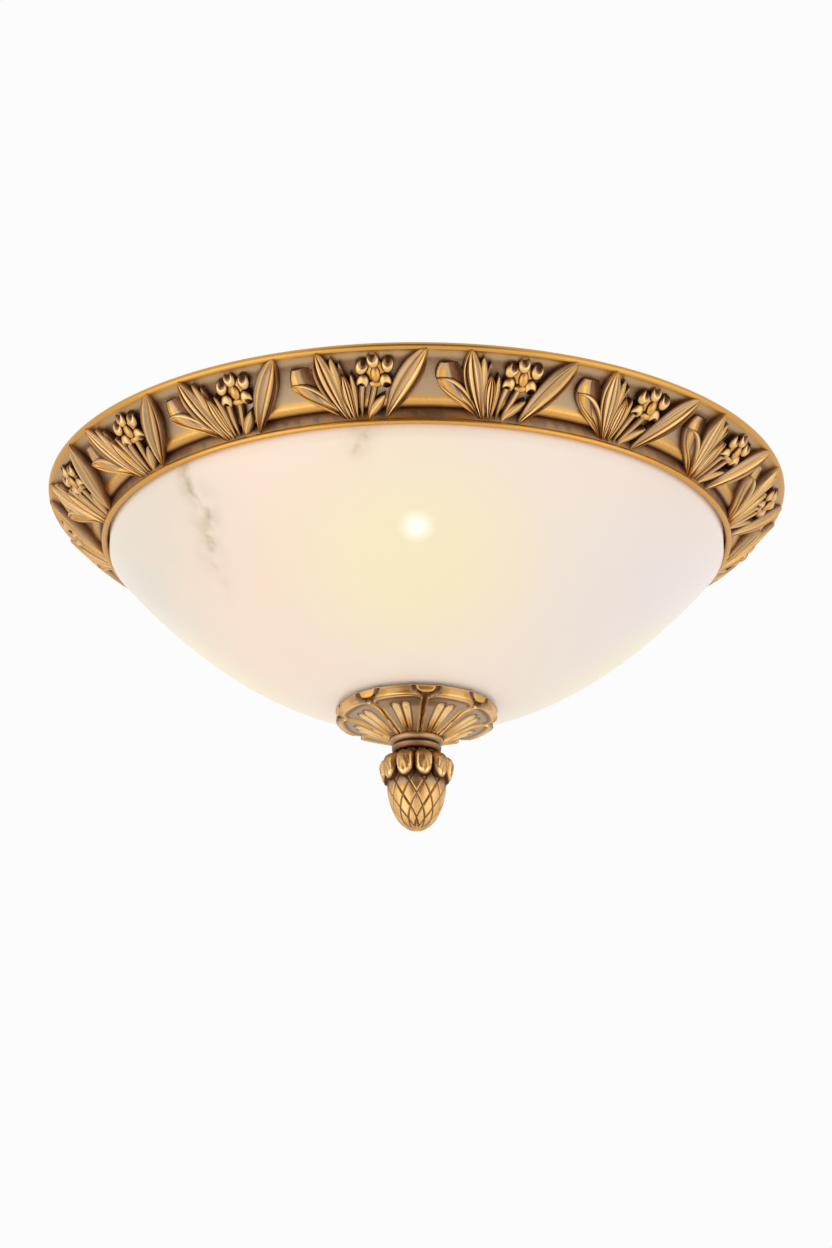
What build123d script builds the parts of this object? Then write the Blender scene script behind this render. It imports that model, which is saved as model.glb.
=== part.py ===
from build123d import *
import math
import os

# Flush ceiling light: a brass rim with leaf-and-flower sprigs, an alabaster bowl, a petal cup
# and an acorn finial that screws onto the centre rod. Millimetres. The origin is the centre of
# the ceiling plane, +Z is up, and the light hangs below it. A bearing is measured about Z from
# the front (-Y) towards +X.

# ------------------------------------------------------------------ driving sizes
# Clearances
seat_gap = 0.3              # between pieces that rest on each other but move apart
turning_gap = 0.05          # between the finial's bore and the rod
sliding_gap = 0.4           # radial, round a screw cap in its lampholder
screw_gap = 0.2             # radial, round a screw in a hole

# Rim ring
rim_radius = 250.0
rim_wall = 2.5
edge_round = 2.4            # radius of the rounded outer edge
band_inset = 3.6            # from the outer edge in to the top of the band
band_top_drop = 5.0
band_run = 32.6             # how far the band runs inwards
band_fall = 23.2            # how far the band falls
band_hollow = 1.5           # how far the band's cove bends inwards
roll_width = 8.0            # the rounded moulding along the foot of the band
roll_height = 1.3
lip_step = 1.2              # from the foot of the band in to the upright face
lip_height = 7.2            # height of the upright face
lip_bead_round = 2.0
seat_reach = 25.8           # from the foot of the band in to the seat flange's inner edge
seat_thickness = 2.0

# Sprigs of leaves and flowers on the band
sprig_count = 16
first_sprig_bearing = -6.3
sprig_foot_relief = 4.4     # height over the band's line, at the lip bead
sprig_mid_relief = 6.4      # half way up the band
sprig_tip_relief = 2.0      # at the outer edge
sprig_foot_y = -9.0         # where the relief starts, below the foot of the band
sprig_reach = 16.0          # how far each outline is drawn through the band
petal_radius = 4.3
petal_sides = 7
petal_ring_radius = 9.2
petal_bearings = [95.0, 147.0, 207.0, 315.0, 37.0]   # degrees round the bud, from the right
flower_x = 0.0
flower_y = 28.8
bud_radius = 3.9
bud_sides = 10
bud_relief = 1.1
flower_relief = 0.95
flower_fill = 0.8           # radius of the part between the petals, as a share of their ring

# Alabaster bowl
bowl_gap = 2.2              # between the rim's lip bead and the bowl
bowl_lip_height = 14.0      # upright part of the wall, hidden in the rim
bowl_depth = 113.1          # from the upright wall down to the outside of the bottom
bowl_wall = 10.0
bowl_curve_power = 2.13     # the outside rises from the middle as the radius to this power
bowl_hole_radius = 8.0
bowl_pad_radius = 18.0      # flat round the hole, inside and outside

# Rubber pieces
gasket_thickness = 1.7
gasket_width = 8.0
gasket_setback = 0.8
bush_wall = 1.6
bush_flange_radius = 14.0
bush_flange_thickness = 1.5
washer_thickness = 1.2
washer_radius = 13.0

# Ceiling pan
pan_wall = 1.0
pan_plate_drop = 16.0       # from the ceiling to the top of the pan's plate
pan_slope_run = 21.0        # from the plate's edge out to the flange
pan_slope_gap = 2.0         # from the foot of the slope out to the seat flange's inner edge
pan_edge_gap = 2.0          # between the pan's flange and the rim's wall
rim_screw_count = 6
rim_screw_inset = 5.0       # from the seat flange's inner edge to the screws
rim_screw_bearing = 30.0
rim_screw_radius = 1.5
rim_screw_length = 8.0
rim_screw_head_radius = 3.0
rim_screw_head_height = 1.9

# Crossbar
bar_length = 176.0
bar_width = 25.0
bar_thickness = 2.5
ceiling_slot_spacing = 136.0
ceiling_slot_length = 16.0
ceiling_slot_width = 5.2
stud_spacing = 100.0
stud_radius = 2.0
bar_nut_thickness = 3.2
bar_nut_flats = 7.0
cap_nut_radius = 5.0
cap_nut_height = 8.0

# Centre rod
rod_radius = 5.0
rod_bore_radius = 3.4
rod_top_drop = 3.4
rod_in_finial = 14.0        # length of rod inside the finial when it is screwed home
rod_end_gap = 3.5           # between the rod's end and the end of the finial's bore
rod_nut_flats = 14.0
rod_nut_thickness = 3.5

# Lamps: three, lying flat like spokes
lamp_count = 3
lamp_below_pan = 25.0       # from the underside of the pan to the lamps' axes
bracket_radius = 32.5       # from the rod's axis to the back of the upright tab
bracket_wall = 1.5
bracket_width = 24.0
bracket_foot_length = 24.0
bracket_below_axis = 13.0
bracket_screw_radius = 2.0
bracket_screw_head_radius = 4.0
bracket_screw_head_height = 2.4
bracket_screw_from_tab = 14.0
bracket_nut_flats = 7.0
bracket_nut_thickness = 2.8
holder_back_radius = 15.0
holder_back_length = 13.0
holder_front_radius = 19.0
holder_length = 45.0
holder_floor = 17.0         # thickness of the holder's back wall, up to the lamp's contact
holder_rim = 2.5
holder_screw_offset = 10.5
holder_screw_radius = 1.4
holder_screw_length = 9.0
holder_screw_head_radius = 2.6
holder_screw_head_height = 1.8
cap_radius = 13.1
cap_length = 25.0
cap_contact_radius = 4.6
cap_insulator_length = 4.5
cap_contact_height = 1.2
globe_radius = 22.5
globe_neck_radius = 11.8
globe_length = 47.0
globe_neck_in_cap = 1.5

# Wiring
lead_radius = 2.0
lead_hole_distance = 20.0   # from the rod's axis to each hole in the pan
lead_bend = 6.0
lead_in_holder = 6.0
lead_over_plate = 6.8       # height of the leads above the pan's plate
lead_rod_clearance = 2.2
grommet_wall = 1.2
grommet_flange = 1.6
grommet_lip = 1.0
terminal_length = 27.0
terminal_depth = 15.0
terminal_height = 10.5
terminal_distance = 31.0    # from the rod's axis to the front of the block
terminal_poles = 3
terminal_screw_radius = 2.2
terminal_screw_height = 1.0
terminal_mouth_radius = 2.6
terminal_mouth_depth = 5.0
earth_screw_x = 34.0
earth_screw_y = 40.0
earth_screw_radius = 2.0
earth_screw_length = 7.0
earth_head_radius = 3.6
earth_head_height = 2.2

# Petal cup
cup_radius = 53.5
cup_overlap = 3.7           # how far the petal tips reach up past the bowl's bottom
cup_neck_radius = 17.0
cup_depth = 20.4            # from the petal tips to the cup's lower face, on the collar
cup_wall = 1.6
cup_shoulder_share = 0.13   # the side is an ogee: its shoulder's place between rim and neck,
cup_shoulder_swell = 3.2    # and how far it bulges below a straight line there
cup_waist_swell = 1.8       # how far it bulges half way
cup_petals = 8
cup_petal_bearing = -15.7
cup_petal_relief = 1.6
cup_petal_tip_width = 36.0
cup_petal_tip_length = 9.0  # from a petal's tip in to where it is widest
cup_petal_neck_width = 10.0
cup_back_radius = 51.0      # radius of the smaller petals behind
cup_flute_relief = 1.3
cup_flute_width = 4.2
cup_flute_spread = 5.4      # between the two flutes of a petal
cup_flute_inner_radius = 22.0
cup_flute_outer_radius = 41.0
cup_plate_thickness = 2.0
cup_recess_radius = 11.4    # of the hollow in the cup's neck, over the collar

# Collar
collar_radius = 17.8
collar_height = 12.0
collar_bead_round = 2.6
collar_band_radius = 16.6
collar_groove_radius = 15.4
collar_hole_gap = 0.6

# Acorn finial
finial_length = 51.5
acorn_radius = 19.6
acorn_shoulder_fall = 18.7   # from the finial's top to where the body is widest
acorn_neck_radius = 14.5
lobe_count = 12
lobe_bearing = 13.6
lobe_crest_radius = 24.3
lobe_width = 11.6
lobe_length = 20.0
lobe_fall = 10.2             # from the finial's top to the middle of the lobes
lobe_lean = 14.0             # degrees that each lobe leans in at its top

# ------------------------------------------------------------------ worked-out places
band_top_radius = rim_radius - band_inset
band_foot_radius = band_top_radius - band_run
band_foot_drop = band_top_drop + band_fall
band_length = math.hypot(band_run, band_fall)
band_out = Vector(band_run / band_length, band_fall / band_length)   # up the band, as (r, z)
band_normal = Vector(band_out.Y, -band_out.X)                        # square to the band
lip_radius = band_foot_radius - lip_step
lip_foot_drop = band_foot_drop + lip_height
bead_fall = lip_bead_round / math.sqrt(2)
bead_radius = lip_radius - bead_fall
bead_drop = lip_foot_drop + bead_fall
rim_inner_radius = bead_radius - bead_fall
seat_drop = band_foot_drop                     # underside of the seat flange
seat_inner_radius = band_foot_radius - seat_reach
rim_screw_circle = seat_inner_radius + rim_screw_inset
pan_flange_radius = band_foot_radius - pan_edge_gap - rim_wall
pan_flange_drop = seat_drop - seat_thickness   # underside of the pan's flange
pan_slope_radius = seat_inner_radius - pan_slope_gap
pan_plate_radius = pan_slope_radius - pan_slope_run

bowl_top_drop = seat_drop + seat_gap + gasket_thickness
bowl_lip_foot_drop = bowl_top_drop + bowl_lip_height
bowl_lip_radius = rim_inner_radius - bowl_gap
bowl_inner_radius = bowl_lip_radius - bowl_wall
bowl_foot_drop = bowl_lip_foot_drop + bowl_depth
bowl_floor_drop = bowl_foot_drop - bowl_wall

bush_radius = bowl_hole_radius - screw_gap
bush_bore = bush_radius - bush_wall
bush_foot_drop = bowl_foot_drop + bush_flange_thickness
washer_top_drop = bush_foot_drop + seat_gap
cup_rim_drop = bowl_foot_drop - cup_overlap
cup_neck_drop = cup_rim_drop + cup_depth
cup_seat_drop = washer_top_drop + washer_thickness   # top of the cup's plate under the washer
collar_foot_drop = cup_neck_drop + collar_height
finial_top_drop = collar_foot_drop + seat_gap
finial_end_drop = finial_top_drop + finial_length
acorn_shoulder_drop = finial_top_drop + acorn_shoulder_fall
lobe_drop = finial_top_drop + lobe_fall
rod_end_drop = finial_top_drop + rod_in_finial
cup_hole_radius = rod_radius + collar_hole_gap

pan_plate_foot_drop = pan_plate_drop + pan_wall
lamp_axis_drop = pan_plate_foot_drop + lamp_below_pan
holder_start = bracket_radius + bracket_wall
holder_end = holder_start + holder_length
cap_start = holder_start + holder_floor + seat_gap
holder_bore_radius = cap_radius + sliding_gap
globe_start = cap_start + cap_length - globe_neck_in_cap
lead_drop = pan_plate_drop - lead_over_plate
grommet_bore = lead_radius + screw_gap
lead_hole_radius = grommet_bore + grommet_wall
terminal_foot_drop = pan_plate_drop
terminal_centre = terminal_distance + terminal_depth / 2


# ------------------------------------------------------------------ helpers
def turned(shape, bearing):
    """The shape, drawn at the front, moved round to a bearing."""
    return Rot(0, 0, bearing) * shape


def along_spoke(shape, bearing):
    """The shape, drawn along +X, moved round to a bearing."""
    return Rot(0, 0, bearing - 90) * shape


def section(*edges):
    """A closed outline in the XZ plane, where X is the radius and Z the height."""
    return Plane.XZ * make_face(Curve() + list(edges))


def spun(*edges):
    """A body of revolution about Z from an outline of (radius, height)."""
    return revolve(section(*edges), Axis.Z)


def disc(radius, height, top):
    """A round plate with its upper face at the height named top."""
    return Pos(0, 0, top - height / 2) * Cylinder(radius, height)


def hexagon(flats, height, top):
    """A hexagonal nut blank with its upper face at the height named top."""
    outline = RegularPolygon(flats / 2, 6, major_radius=False)
    return Pos(0, 0, top - height) * extrude(outline, height)


def rod_between(radius, low, high):
    """An upright round bar from one height to another."""
    return disc(radius, high - low, high)


def save(name, shape):
    """Write one node."""
    solids = shape.solids()
    body = solids[0] if len(solids) == 1 else Compound(children=list(solids))
    body.label = name
    export_step(body, "parts/" + name + ".step")


# ------------------------------------------------------------------ rim ring
def band_point(along, height):
    """A point over the band's chord, as (radius, height below the ceiling)."""
    base = Vector(band_foot_radius, -band_foot_drop)
    return base + band_out * along + band_normal * height


def rim_outside():
    """The rim's outer line from the ceiling down to the inside of the lip bead."""
    edge_centre = rim_radius - edge_round
    roll_top = band_point(roll_width, 0)
    roll_crest = band_point(roll_width / 2, roll_height)
    hollow = band_point((band_length + roll_width) / 2, -band_hollow)
    return [
        ThreePointArc((edge_centre, 0), (rim_radius, -edge_round), (edge_centre, -2 * edge_round)),
        Line((edge_centre, -2 * edge_round), (band_top_radius, -band_top_drop)),
        ThreePointArc((band_top_radius, -band_top_drop), (hollow.X, hollow.Y),
                      (roll_top.X, roll_top.Y)),
        ThreePointArc((roll_top.X, roll_top.Y), (roll_crest.X, roll_crest.Y),
                      (band_foot_radius, -band_foot_drop)),
        Line((band_foot_radius, -band_foot_drop), (lip_radius, -band_foot_drop)),
        Line((lip_radius, -band_foot_drop), (lip_radius, -lip_foot_drop)),
        ThreePointArc((lip_radius, -lip_foot_drop), (bead_radius, -bead_drop - lip_bead_round),
                      (rim_inner_radius, -lip_foot_drop)),
    ]


def make_rim():
    """The cast ring: outer edge, cove band and its roll, upright face, lip bead, bowl's seat."""
    top = band_point(band_length, -rim_wall)
    middle = band_point(band_length / 2, -band_hollow - rim_wall)
    seat_top = -seat_drop + seat_thickness
    foot_radius = band_foot_radius - rim_wall / 2
    ring = spun(
        *rim_outside(),
        Line((rim_inner_radius, -lip_foot_drop), (rim_inner_radius, -seat_drop)),
        Line((rim_inner_radius, -seat_drop), (seat_inner_radius, -seat_drop)),
        Line((seat_inner_radius, -seat_drop), (seat_inner_radius, seat_top)),
        Line((seat_inner_radius, seat_top), (foot_radius, seat_top)),
        ThreePointArc((foot_radius, seat_top), (middle.X, middle.Y), (top.X, top.Y)),
        Line((top.X, top.Y), (top.X, 0)),
        Line((top.X, 0), (rim_radius - edge_round, 0)),
    )
    return ring - rim_screw_holes()


def rim_screw_places():
    """The rim screws' places round the seat flange."""
    step = 360 / rim_screw_count
    return [turned(Pos(0, -rim_screw_circle, 0), rim_screw_bearing + step * k)
            for k in range(rim_screw_count)]


def rim_screw_holes():
    """Holes through the seat flange and the pan's flange."""
    hole = rod_between(rim_screw_radius + screw_gap, -seat_drop - seat_thickness,
                       -pan_flange_drop + 2 * pan_wall)
    return [place * hole for place in rim_screw_places()]


def make_rim_screws():
    """Pan-head screws, driven up through the flange into the pan."""
    head = disc(rim_screw_head_radius, rim_screw_head_height, -seat_drop)
    shank = rod_between(rim_screw_radius, -seat_drop, -seat_drop + rim_screw_length)
    head = fillet(head.edges().group_by(Axis.Z)[0], rim_screw_head_height / 2)
    return Compound(children=[place * (head + shank) for place in rim_screw_places()])


# ------------------------------------------------------------------ sprigs
# Outlines on the band seen square on: x along the band, y up it from the lip, both in mm from
# the foot of the flower's stalk. An outline goes from its stalk end up its left side to the
# tip and back down its right side, each side a Bezier curve with two handles. The curled leaf
# has two tips, the ends of its folded-over top.
curled_leaf = dict(stalk=(-20.0, -5.5), left=[(-32.0, 6.0), (-54.0, 4.0)],
                   tips=[(-57.5, 29.5), (-42.3, 31.4)], right=[(-38.0, 20.0), (-28.0, 4.0)],
                   relief=0.8)
left_leaf = dict(stalk=(-17.0, -6.0), left=[(-34.0, 10.0), (-44.0, 28.0)],
                 tips=[(-36.6, 40.7)], right=[(-24.0, 36.0), (-25.0, 8.0)], relief=1.0)
narrow_leaf = dict(stalk=(-14.0, -6.0), left=[(-20.0, 6.0), (-28.0, 24.0)],
                   tips=[(-21.4, 35.0)], right=[(-14.0, 30.0), (-13.0, 6.0)], relief=0.88)
slim_leaf = dict(stalk=(-12.0, -6.0), left=[(-15.0, 6.0), (-19.0, 18.0)],
                 tips=[(-15.4, 27.0)], right=[(-11.0, 22.0), (-9.0, 6.0)], relief=0.72)
small_leaf = dict(stalk=(-6.0, -6.0), left=[(-6.5, 4.0), (-1.0, 10.0)],
                  tips=[(8.0, 9.5)], right=[(8.0, 2.0), (-1.0, -4.0)], relief=0.7)
right_leaf = dict(stalk=(7.0, -5.5), left=[(3.0, 14.0), (14.0, 38.0)],
                  tips=[(33.4, 40.7)], right=[(35.0, 22.0), (16.0, 10.0)], relief=0.98)
long_stalk = dict(stalk=(-11.5, -6.0), left=[(-12.0, 8.0), (-6.0, 16.0)],
                  tips=[(-4.5, 24.0), (-1.0, 24.0)], right=[(-2.0, 14.0), (-7.0, 6.0)],
                  relief=0.8)
short_stalk = dict(stalk=(-8.5, -6.0), left=[(-8.0, 8.0), (-1.0, 14.0)],
                   tips=[(0.6, 24.0), (3.6, 24.0)], right=[(5.0, 12.0), (-3.0, 4.0)],
                   relief=0.76)
sheath = dict(stalk=(-14.0, -6.5), left=[(-24.0, -5.0), (-27.0, 3.0)], tips=[(-21.0, 4.0)],
              right=[(-12.0, 9.0), (-2.0, -2.0)], relief=0.72)
leaves = [curled_leaf, left_leaf, narrow_leaf, slim_leaf, small_leaf, right_leaf, long_stalk,
          short_stalk, sheath]


def sprig_plane():
    """The plane square to the band at the front, with its x along the band and y up it."""
    return Plane(origin=(0, -band_foot_radius, -band_foot_drop), x_dir=(1, 0, 0),
                 z_dir=(0, -band_normal.X, band_normal.Y))


def relief_body(share):
    """All that lies under an arched relief of the given share of the full height."""
    high = band_length + edge_round
    first = band_point(sprig_foot_y, sprig_foot_relief * share)
    middle = band_point((sprig_foot_y + high) / 2, sprig_mid_relief * share)
    last = band_point(high, sprig_tip_relief * share)
    inner = seat_inner_radius
    return spun(
        ThreePointArc((first.X, first.Y), (middle.X, middle.Y), (last.X, last.Y)),
        Line((last.X, last.Y), (last.X, sprig_reach)),
        Line((last.X, sprig_reach), (inner, sprig_reach)),
        Line((inner, sprig_reach), (inner, first.Y)),
        Line((inner, first.Y), (first.X, first.Y)),
    )


def leaf_face(leaf):
    """A leaf's outline as a face."""
    stalk = leaf["stalk"]
    tips = leaf["tips"]
    edges = Curve() + Bezier(stalk, *leaf["left"], tips[0]) + Bezier(tips[-1], *leaf["right"], stalk)
    if len(tips) > 1:
        edges += Line(tips[0], tips[-1])
    return make_face(edges)


def drawn_through(face):
    """A prism through the band from an outline on the sprig's plane."""
    return extrude(sprig_plane().offset(-sprig_reach) * face, 2 * sprig_reach)


def make_leaf(leaf):
    """A leaf or stalk, its back still uncut."""
    return drawn_through(leaf_face(leaf)) & relief_body(leaf["relief"])


def make_flower():
    """Five petals about a bud."""
    centre = Vector(flower_x, flower_y)
    petals = Sketch()
    for bearing in petal_bearings:
        swing = math.radians(bearing)
        place = centre + Vector(math.cos(swing), math.sin(swing)) * petal_ring_radius
        petals += Pos(place) * RegularPolygon(petal_radius, petal_sides, rotation=bearing)
    bud = Pos(centre) * RegularPolygon(bud_radius, bud_sides)
    inner = Pos(centre) * RegularPolygon(petal_ring_radius * flower_fill, len(petal_bearings),
                                         rotation=petal_bearings[0])
    flower = drawn_through(petals + inner) & relief_body(flower_relief)
    return flower + (drawn_through(bud) & relief_body(bud_relief))


def make_sprig():
    """One sprig, its back cut to the rim so that it lies on the band."""
    inner = seat_inner_radius - 2 * sprig_reach
    outer = rim_radius - edge_round
    over = 2 * sprig_reach
    under = spun(
        *rim_outside(),
        Line((rim_inner_radius, -lip_foot_drop), (inner, -lip_foot_drop)),
        Line((inner, -lip_foot_drop), (inner, over)),
        Line((inner, over), (outer, over)),
        Line((outer, over), (outer, 0)),
    )
    raised = make_flower()
    for leaf in leaves:
        raised = raised + make_leaf(leaf)
    return (raised - under).solids().sort_by(SortBy.VOLUME)[-1]


# ------------------------------------------------------------------ alabaster bowl
def bowl_height(radius, lip, foot):
    """Height of the bowl's curved side at a radius, for the given lip radius and foot."""
    return foot + bowl_depth * (radius / lip) ** bowl_curve_power


def bowl_side(lip, foot, start):
    """The curved side from a flat pad out to the upright lip."""
    shares = [0, 1 / 4, 1 / 2, 3 / 4, 1]
    radii = [start + (lip - start) * share for share in shares]
    rise = bowl_height(start, lip, foot) - foot
    return [(radius, bowl_height(radius, lip, foot) - rise * (1 - share))
            for radius, share in zip(radii, shares)]


def make_bowl():
    """The turned alabaster bowl, open at the top, with a hole for the rod."""
    outside = bowl_side(bowl_lip_radius, -bowl_foot_drop, bowl_pad_radius)
    inside = bowl_side(bowl_inner_radius, -bowl_floor_drop, bowl_pad_radius)
    bowl = spun(
        Line((0, -bowl_foot_drop), outside[0]),
        Spline(*outside),
        Line(outside[-1], (bowl_lip_radius, -bowl_top_drop)),
        Line((bowl_lip_radius, -bowl_top_drop), (bowl_inner_radius, -bowl_top_drop)),
        Line((bowl_inner_radius, -bowl_top_drop), inside[-1]),
        Spline(*inside[::-1]),
        Line(inside[0], (0, -bowl_floor_drop)),
        Line((0, -bowl_floor_drop), (0, -bowl_foot_drop)),
    )
    return bowl - rod_between(bowl_hole_radius, -bowl_foot_drop - bowl_wall, -bowl_top_drop)


def make_gasket():
    """The rubber ring on the bowl's upper edge."""
    outer = bowl_lip_radius - gasket_setback
    top = -bowl_top_drop + gasket_thickness
    return disc(outer, gasket_thickness, top) - disc(outer - gasket_width, gasket_thickness, top)


def make_bush():
    """The rubber bush through the bowl's hole, with a flange inside and outside."""
    top = -bowl_floor_drop + bush_flange_thickness
    body = rod_between(bush_radius, -bush_foot_drop, top)
    flanges = disc(bush_flange_radius, bush_flange_thickness, top)
    flanges += disc(bush_flange_radius, bush_flange_thickness, -bowl_foot_drop)
    return body + flanges - rod_between(bush_bore, -bush_foot_drop, top)


# ------------------------------------------------------------------ ceiling pan
def make_pan():
    """The spun steel pan: plate, slope and flange, with its holes."""
    pan = spun(
        Line((0, -pan_plate_foot_drop), (pan_plate_radius, -pan_plate_foot_drop)),
        Line((pan_plate_radius, -pan_plate_foot_drop), (pan_slope_radius, -pan_flange_drop)),
        Line((pan_slope_radius, -pan_flange_drop), (pan_flange_radius, -pan_flange_drop)),
        Line((pan_flange_radius, -pan_flange_drop), (pan_flange_radius, -pan_flange_drop + pan_wall)),
        Line((pan_flange_radius, -pan_flange_drop + pan_wall),
             (pan_slope_radius + pan_wall / 2, -pan_flange_drop + pan_wall)),
        Line((pan_slope_radius + pan_wall / 2, -pan_flange_drop + pan_wall),
             (pan_plate_radius + pan_wall / 2, -pan_plate_drop)),
        Line((pan_plate_radius + pan_wall / 2, -pan_plate_drop), (0, -pan_plate_drop)),
        Line((0, -pan_plate_drop), (0, -pan_plate_foot_drop)),
    )
    low = -pan_plate_foot_drop - pan_wall
    high = -pan_plate_drop + pan_wall
    pan -= rod_between(rod_radius + screw_gap, low, high)
    pan -= [Pos(x, 0, 0) * rod_between(stud_radius + screw_gap, low, high) for x in stud_places()]
    pan -= Pos(earth_screw_x, earth_screw_y, 0) * rod_between(earth_screw_radius, low, high)
    for bearing in lamp_bearings():
        lead_hole = Pos(lead_hole_distance, 0, 0) * rod_between(lead_hole_radius, low, high)
        screw_hole = Pos(bracket_screw_distance(), 0, 0) * rod_between(
            bracket_screw_radius + screw_gap, low, high)
        pan -= [along_spoke(lead_hole, bearing), along_spoke(screw_hole, bearing)]
    return pan - rim_screw_holes()


# ------------------------------------------------------------------ crossbar
def stud_places():
    """The studs' x positions on the crossbar."""
    return [-stud_spacing / 2, stud_spacing / 2]


def make_crossbar():
    """The strap on the ceiling, with a slot at each end for a ceiling screw."""
    outline = SlotOverall(bar_length, bar_width)
    for x in (-ceiling_slot_spacing / 2, ceiling_slot_spacing / 2):
        outline -= Pos(x, 0) * SlotOverall(ceiling_slot_length, ceiling_slot_width)
    for x in stud_places():
        outline -= Pos(x, 0) * Circle(stud_radius)
    return Pos(0, 0, -bar_thickness) * extrude(outline, bar_thickness)


def make_studs():
    """Two studs, screwed through the crossbar and down through the pan."""
    low = -pan_plate_foot_drop - cap_nut_height / 2
    high = -seat_gap
    stud = rod_between(stud_radius, low, high)
    return Compound(children=[Pos(x, 0, 0) * stud for x in stud_places()])


def make_bar_nuts():
    """The nuts that lock the studs under the crossbar."""
    nut = hexagon(bar_nut_flats, bar_nut_thickness, -bar_thickness)
    nut -= rod_between(stud_radius, -bar_thickness - bar_nut_thickness, 0)
    return Compound(children=[Pos(x, 0, 0) * nut for x in stud_places()])


def make_cap_nuts():
    """The domed nuts that hold the pan up, turned by hand from below."""
    top = -pan_plate_foot_drop
    foot = top - cap_nut_height
    shoulder = foot + cap_nut_radius
    nut = spun(
        Line((0, top), (cap_nut_radius, top)),
        Line((cap_nut_radius, top), (cap_nut_radius, shoulder)),
        RadiusArc((cap_nut_radius, shoulder), (0, foot), cap_nut_radius),
        Line((0, foot), (0, top)),
    )
    nut -= rod_between(stud_radius, top - cap_nut_height / 2, top)
    return Compound(children=[Pos(x, 0, 0) * nut for x in stud_places()])


# ------------------------------------------------------------------ centre rod
def make_rod():
    """The hollow rod that carries the bowl, the cup and the finial."""
    rod = rod_between(rod_radius, -rod_end_drop, -rod_top_drop)
    return rod - rod_between(rod_bore_radius, -rod_end_drop, -rod_top_drop)


def make_rod_nuts():
    """The two nuts that clamp the rod to the pan."""
    nuts = []
    for top in (-pan_plate_drop + rod_nut_thickness, -pan_plate_foot_drop):
        nut = hexagon(rod_nut_flats, rod_nut_thickness, top)
        nuts.append(nut - rod_between(rod_radius, top - rod_nut_thickness, top))
    return Compound(children=nuts)


# ------------------------------------------------------------------ lamps
def lamp_bearings():
    """The lamps' bearings, the first one at the front."""
    return [360 / lamp_count * k for k in range(lamp_count)]


def bracket_screw_distance():
    """From the rod's axis to the screw in each bracket's foot."""
    return bracket_radius + bracket_screw_from_tab


def spoke_bar(radius, start, length):
    """A round bar along a lamp's axis, drawn along +X."""
    middle = start + length / 2
    return Pos(middle, 0, -lamp_axis_drop) * Rot(0, 90, 0) * Cylinder(radius, length)


def make_bracket():
    """A bent strip: a foot under the pan and an upright tab that carries the lampholder."""
    top = -pan_plate_foot_drop
    foot_width = bracket_width
    foot = Pos(bracket_radius + bracket_foot_length / 2, 0, top - bracket_wall / 2) * Box(
        bracket_foot_length, foot_width, bracket_wall)
    foot -= Pos(bracket_screw_distance(), 0, 0) * rod_between(
        bracket_screw_radius + screw_gap, top - 2 * bracket_wall, top)
    tab_height = lamp_axis_drop - pan_plate_foot_drop
    tab = Pos(bracket_radius + bracket_wall / 2, 0, top - tab_height / 2) * Box(
        bracket_wall, bracket_width, tab_height)
    tab += spoke_bar(bracket_below_axis, bracket_radius, bracket_wall)
    tab -= spoke_bar(grommet_bore, bracket_radius, bracket_wall)
    for side in (-holder_screw_offset, holder_screw_offset):
        tab -= Pos(0, side, 0) * spoke_bar(holder_screw_radius, bracket_radius, bracket_wall)
    return foot + tab


def bracket_screw():
    """The screw up through a bracket's foot and the pan."""
    head_top = -pan_plate_foot_drop - bracket_wall
    head = disc(bracket_screw_head_radius, bracket_screw_head_height, head_top)
    head = fillet(head.edges().group_by(Axis.Z)[0], bracket_screw_head_height / 2)
    shank = rod_between(bracket_screw_radius, head_top,
                        -pan_plate_drop + bracket_nut_thickness + bracket_wall)
    return Pos(bracket_screw_distance(), 0, 0) * (head + shank)


def bracket_nut():
    """The nut on a bracket's screw, above the pan."""
    top = -pan_plate_drop + bracket_nut_thickness
    nut = hexagon(bracket_nut_flats, bracket_nut_thickness, top)
    nut -= rod_between(bracket_screw_radius, top - bracket_nut_thickness, top)
    return Pos(bracket_screw_distance(), 0, 0) * nut


def make_lampholder():
    """A porcelain lampholder, open at the front for a screw cap."""
    holder = spoke_bar(holder_back_radius, holder_start, holder_back_length)
    front = spoke_bar(holder_front_radius, holder_start + holder_back_length,
                      holder_length - holder_back_length)
    holder += fillet(front.edges().sort_by(Axis.X)[0], holder_front_radius - holder_back_radius)
    rims = [edge for edge in holder.edges().group_by(Axis.X)[-1]]
    holder = fillet(rims, holder_rim)
    holder -= spoke_bar(holder_bore_radius, holder_start + holder_floor, holder_length)
    holder -= spoke_bar(grommet_bore, holder_start, lead_in_holder)
    for side in (-holder_screw_offset, holder_screw_offset):
        holder -= Pos(0, side, 0) * spoke_bar(holder_screw_radius, holder_start, holder_screw_length)
    return holder


def holder_screw_pair():
    """The two screws from the back of a tab into its lampholder."""
    head = spoke_bar(holder_screw_head_radius, bracket_radius - holder_screw_head_height,
                     holder_screw_head_height)
    screw = head + spoke_bar(holder_screw_radius, bracket_radius,
                             bracket_wall + holder_screw_length)
    return [Pos(0, side, 0) * screw for side in (-holder_screw_offset, holder_screw_offset)]


def spoke_spun(*edges):
    """A body of revolution about a lamp's axis, from (distance along the spoke, radius)."""
    profile = make_face(Curve() + list(edges))
    return Pos(0, 0, -lamp_axis_drop) * revolve(Plane.XZ * profile, Axis.X)


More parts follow.
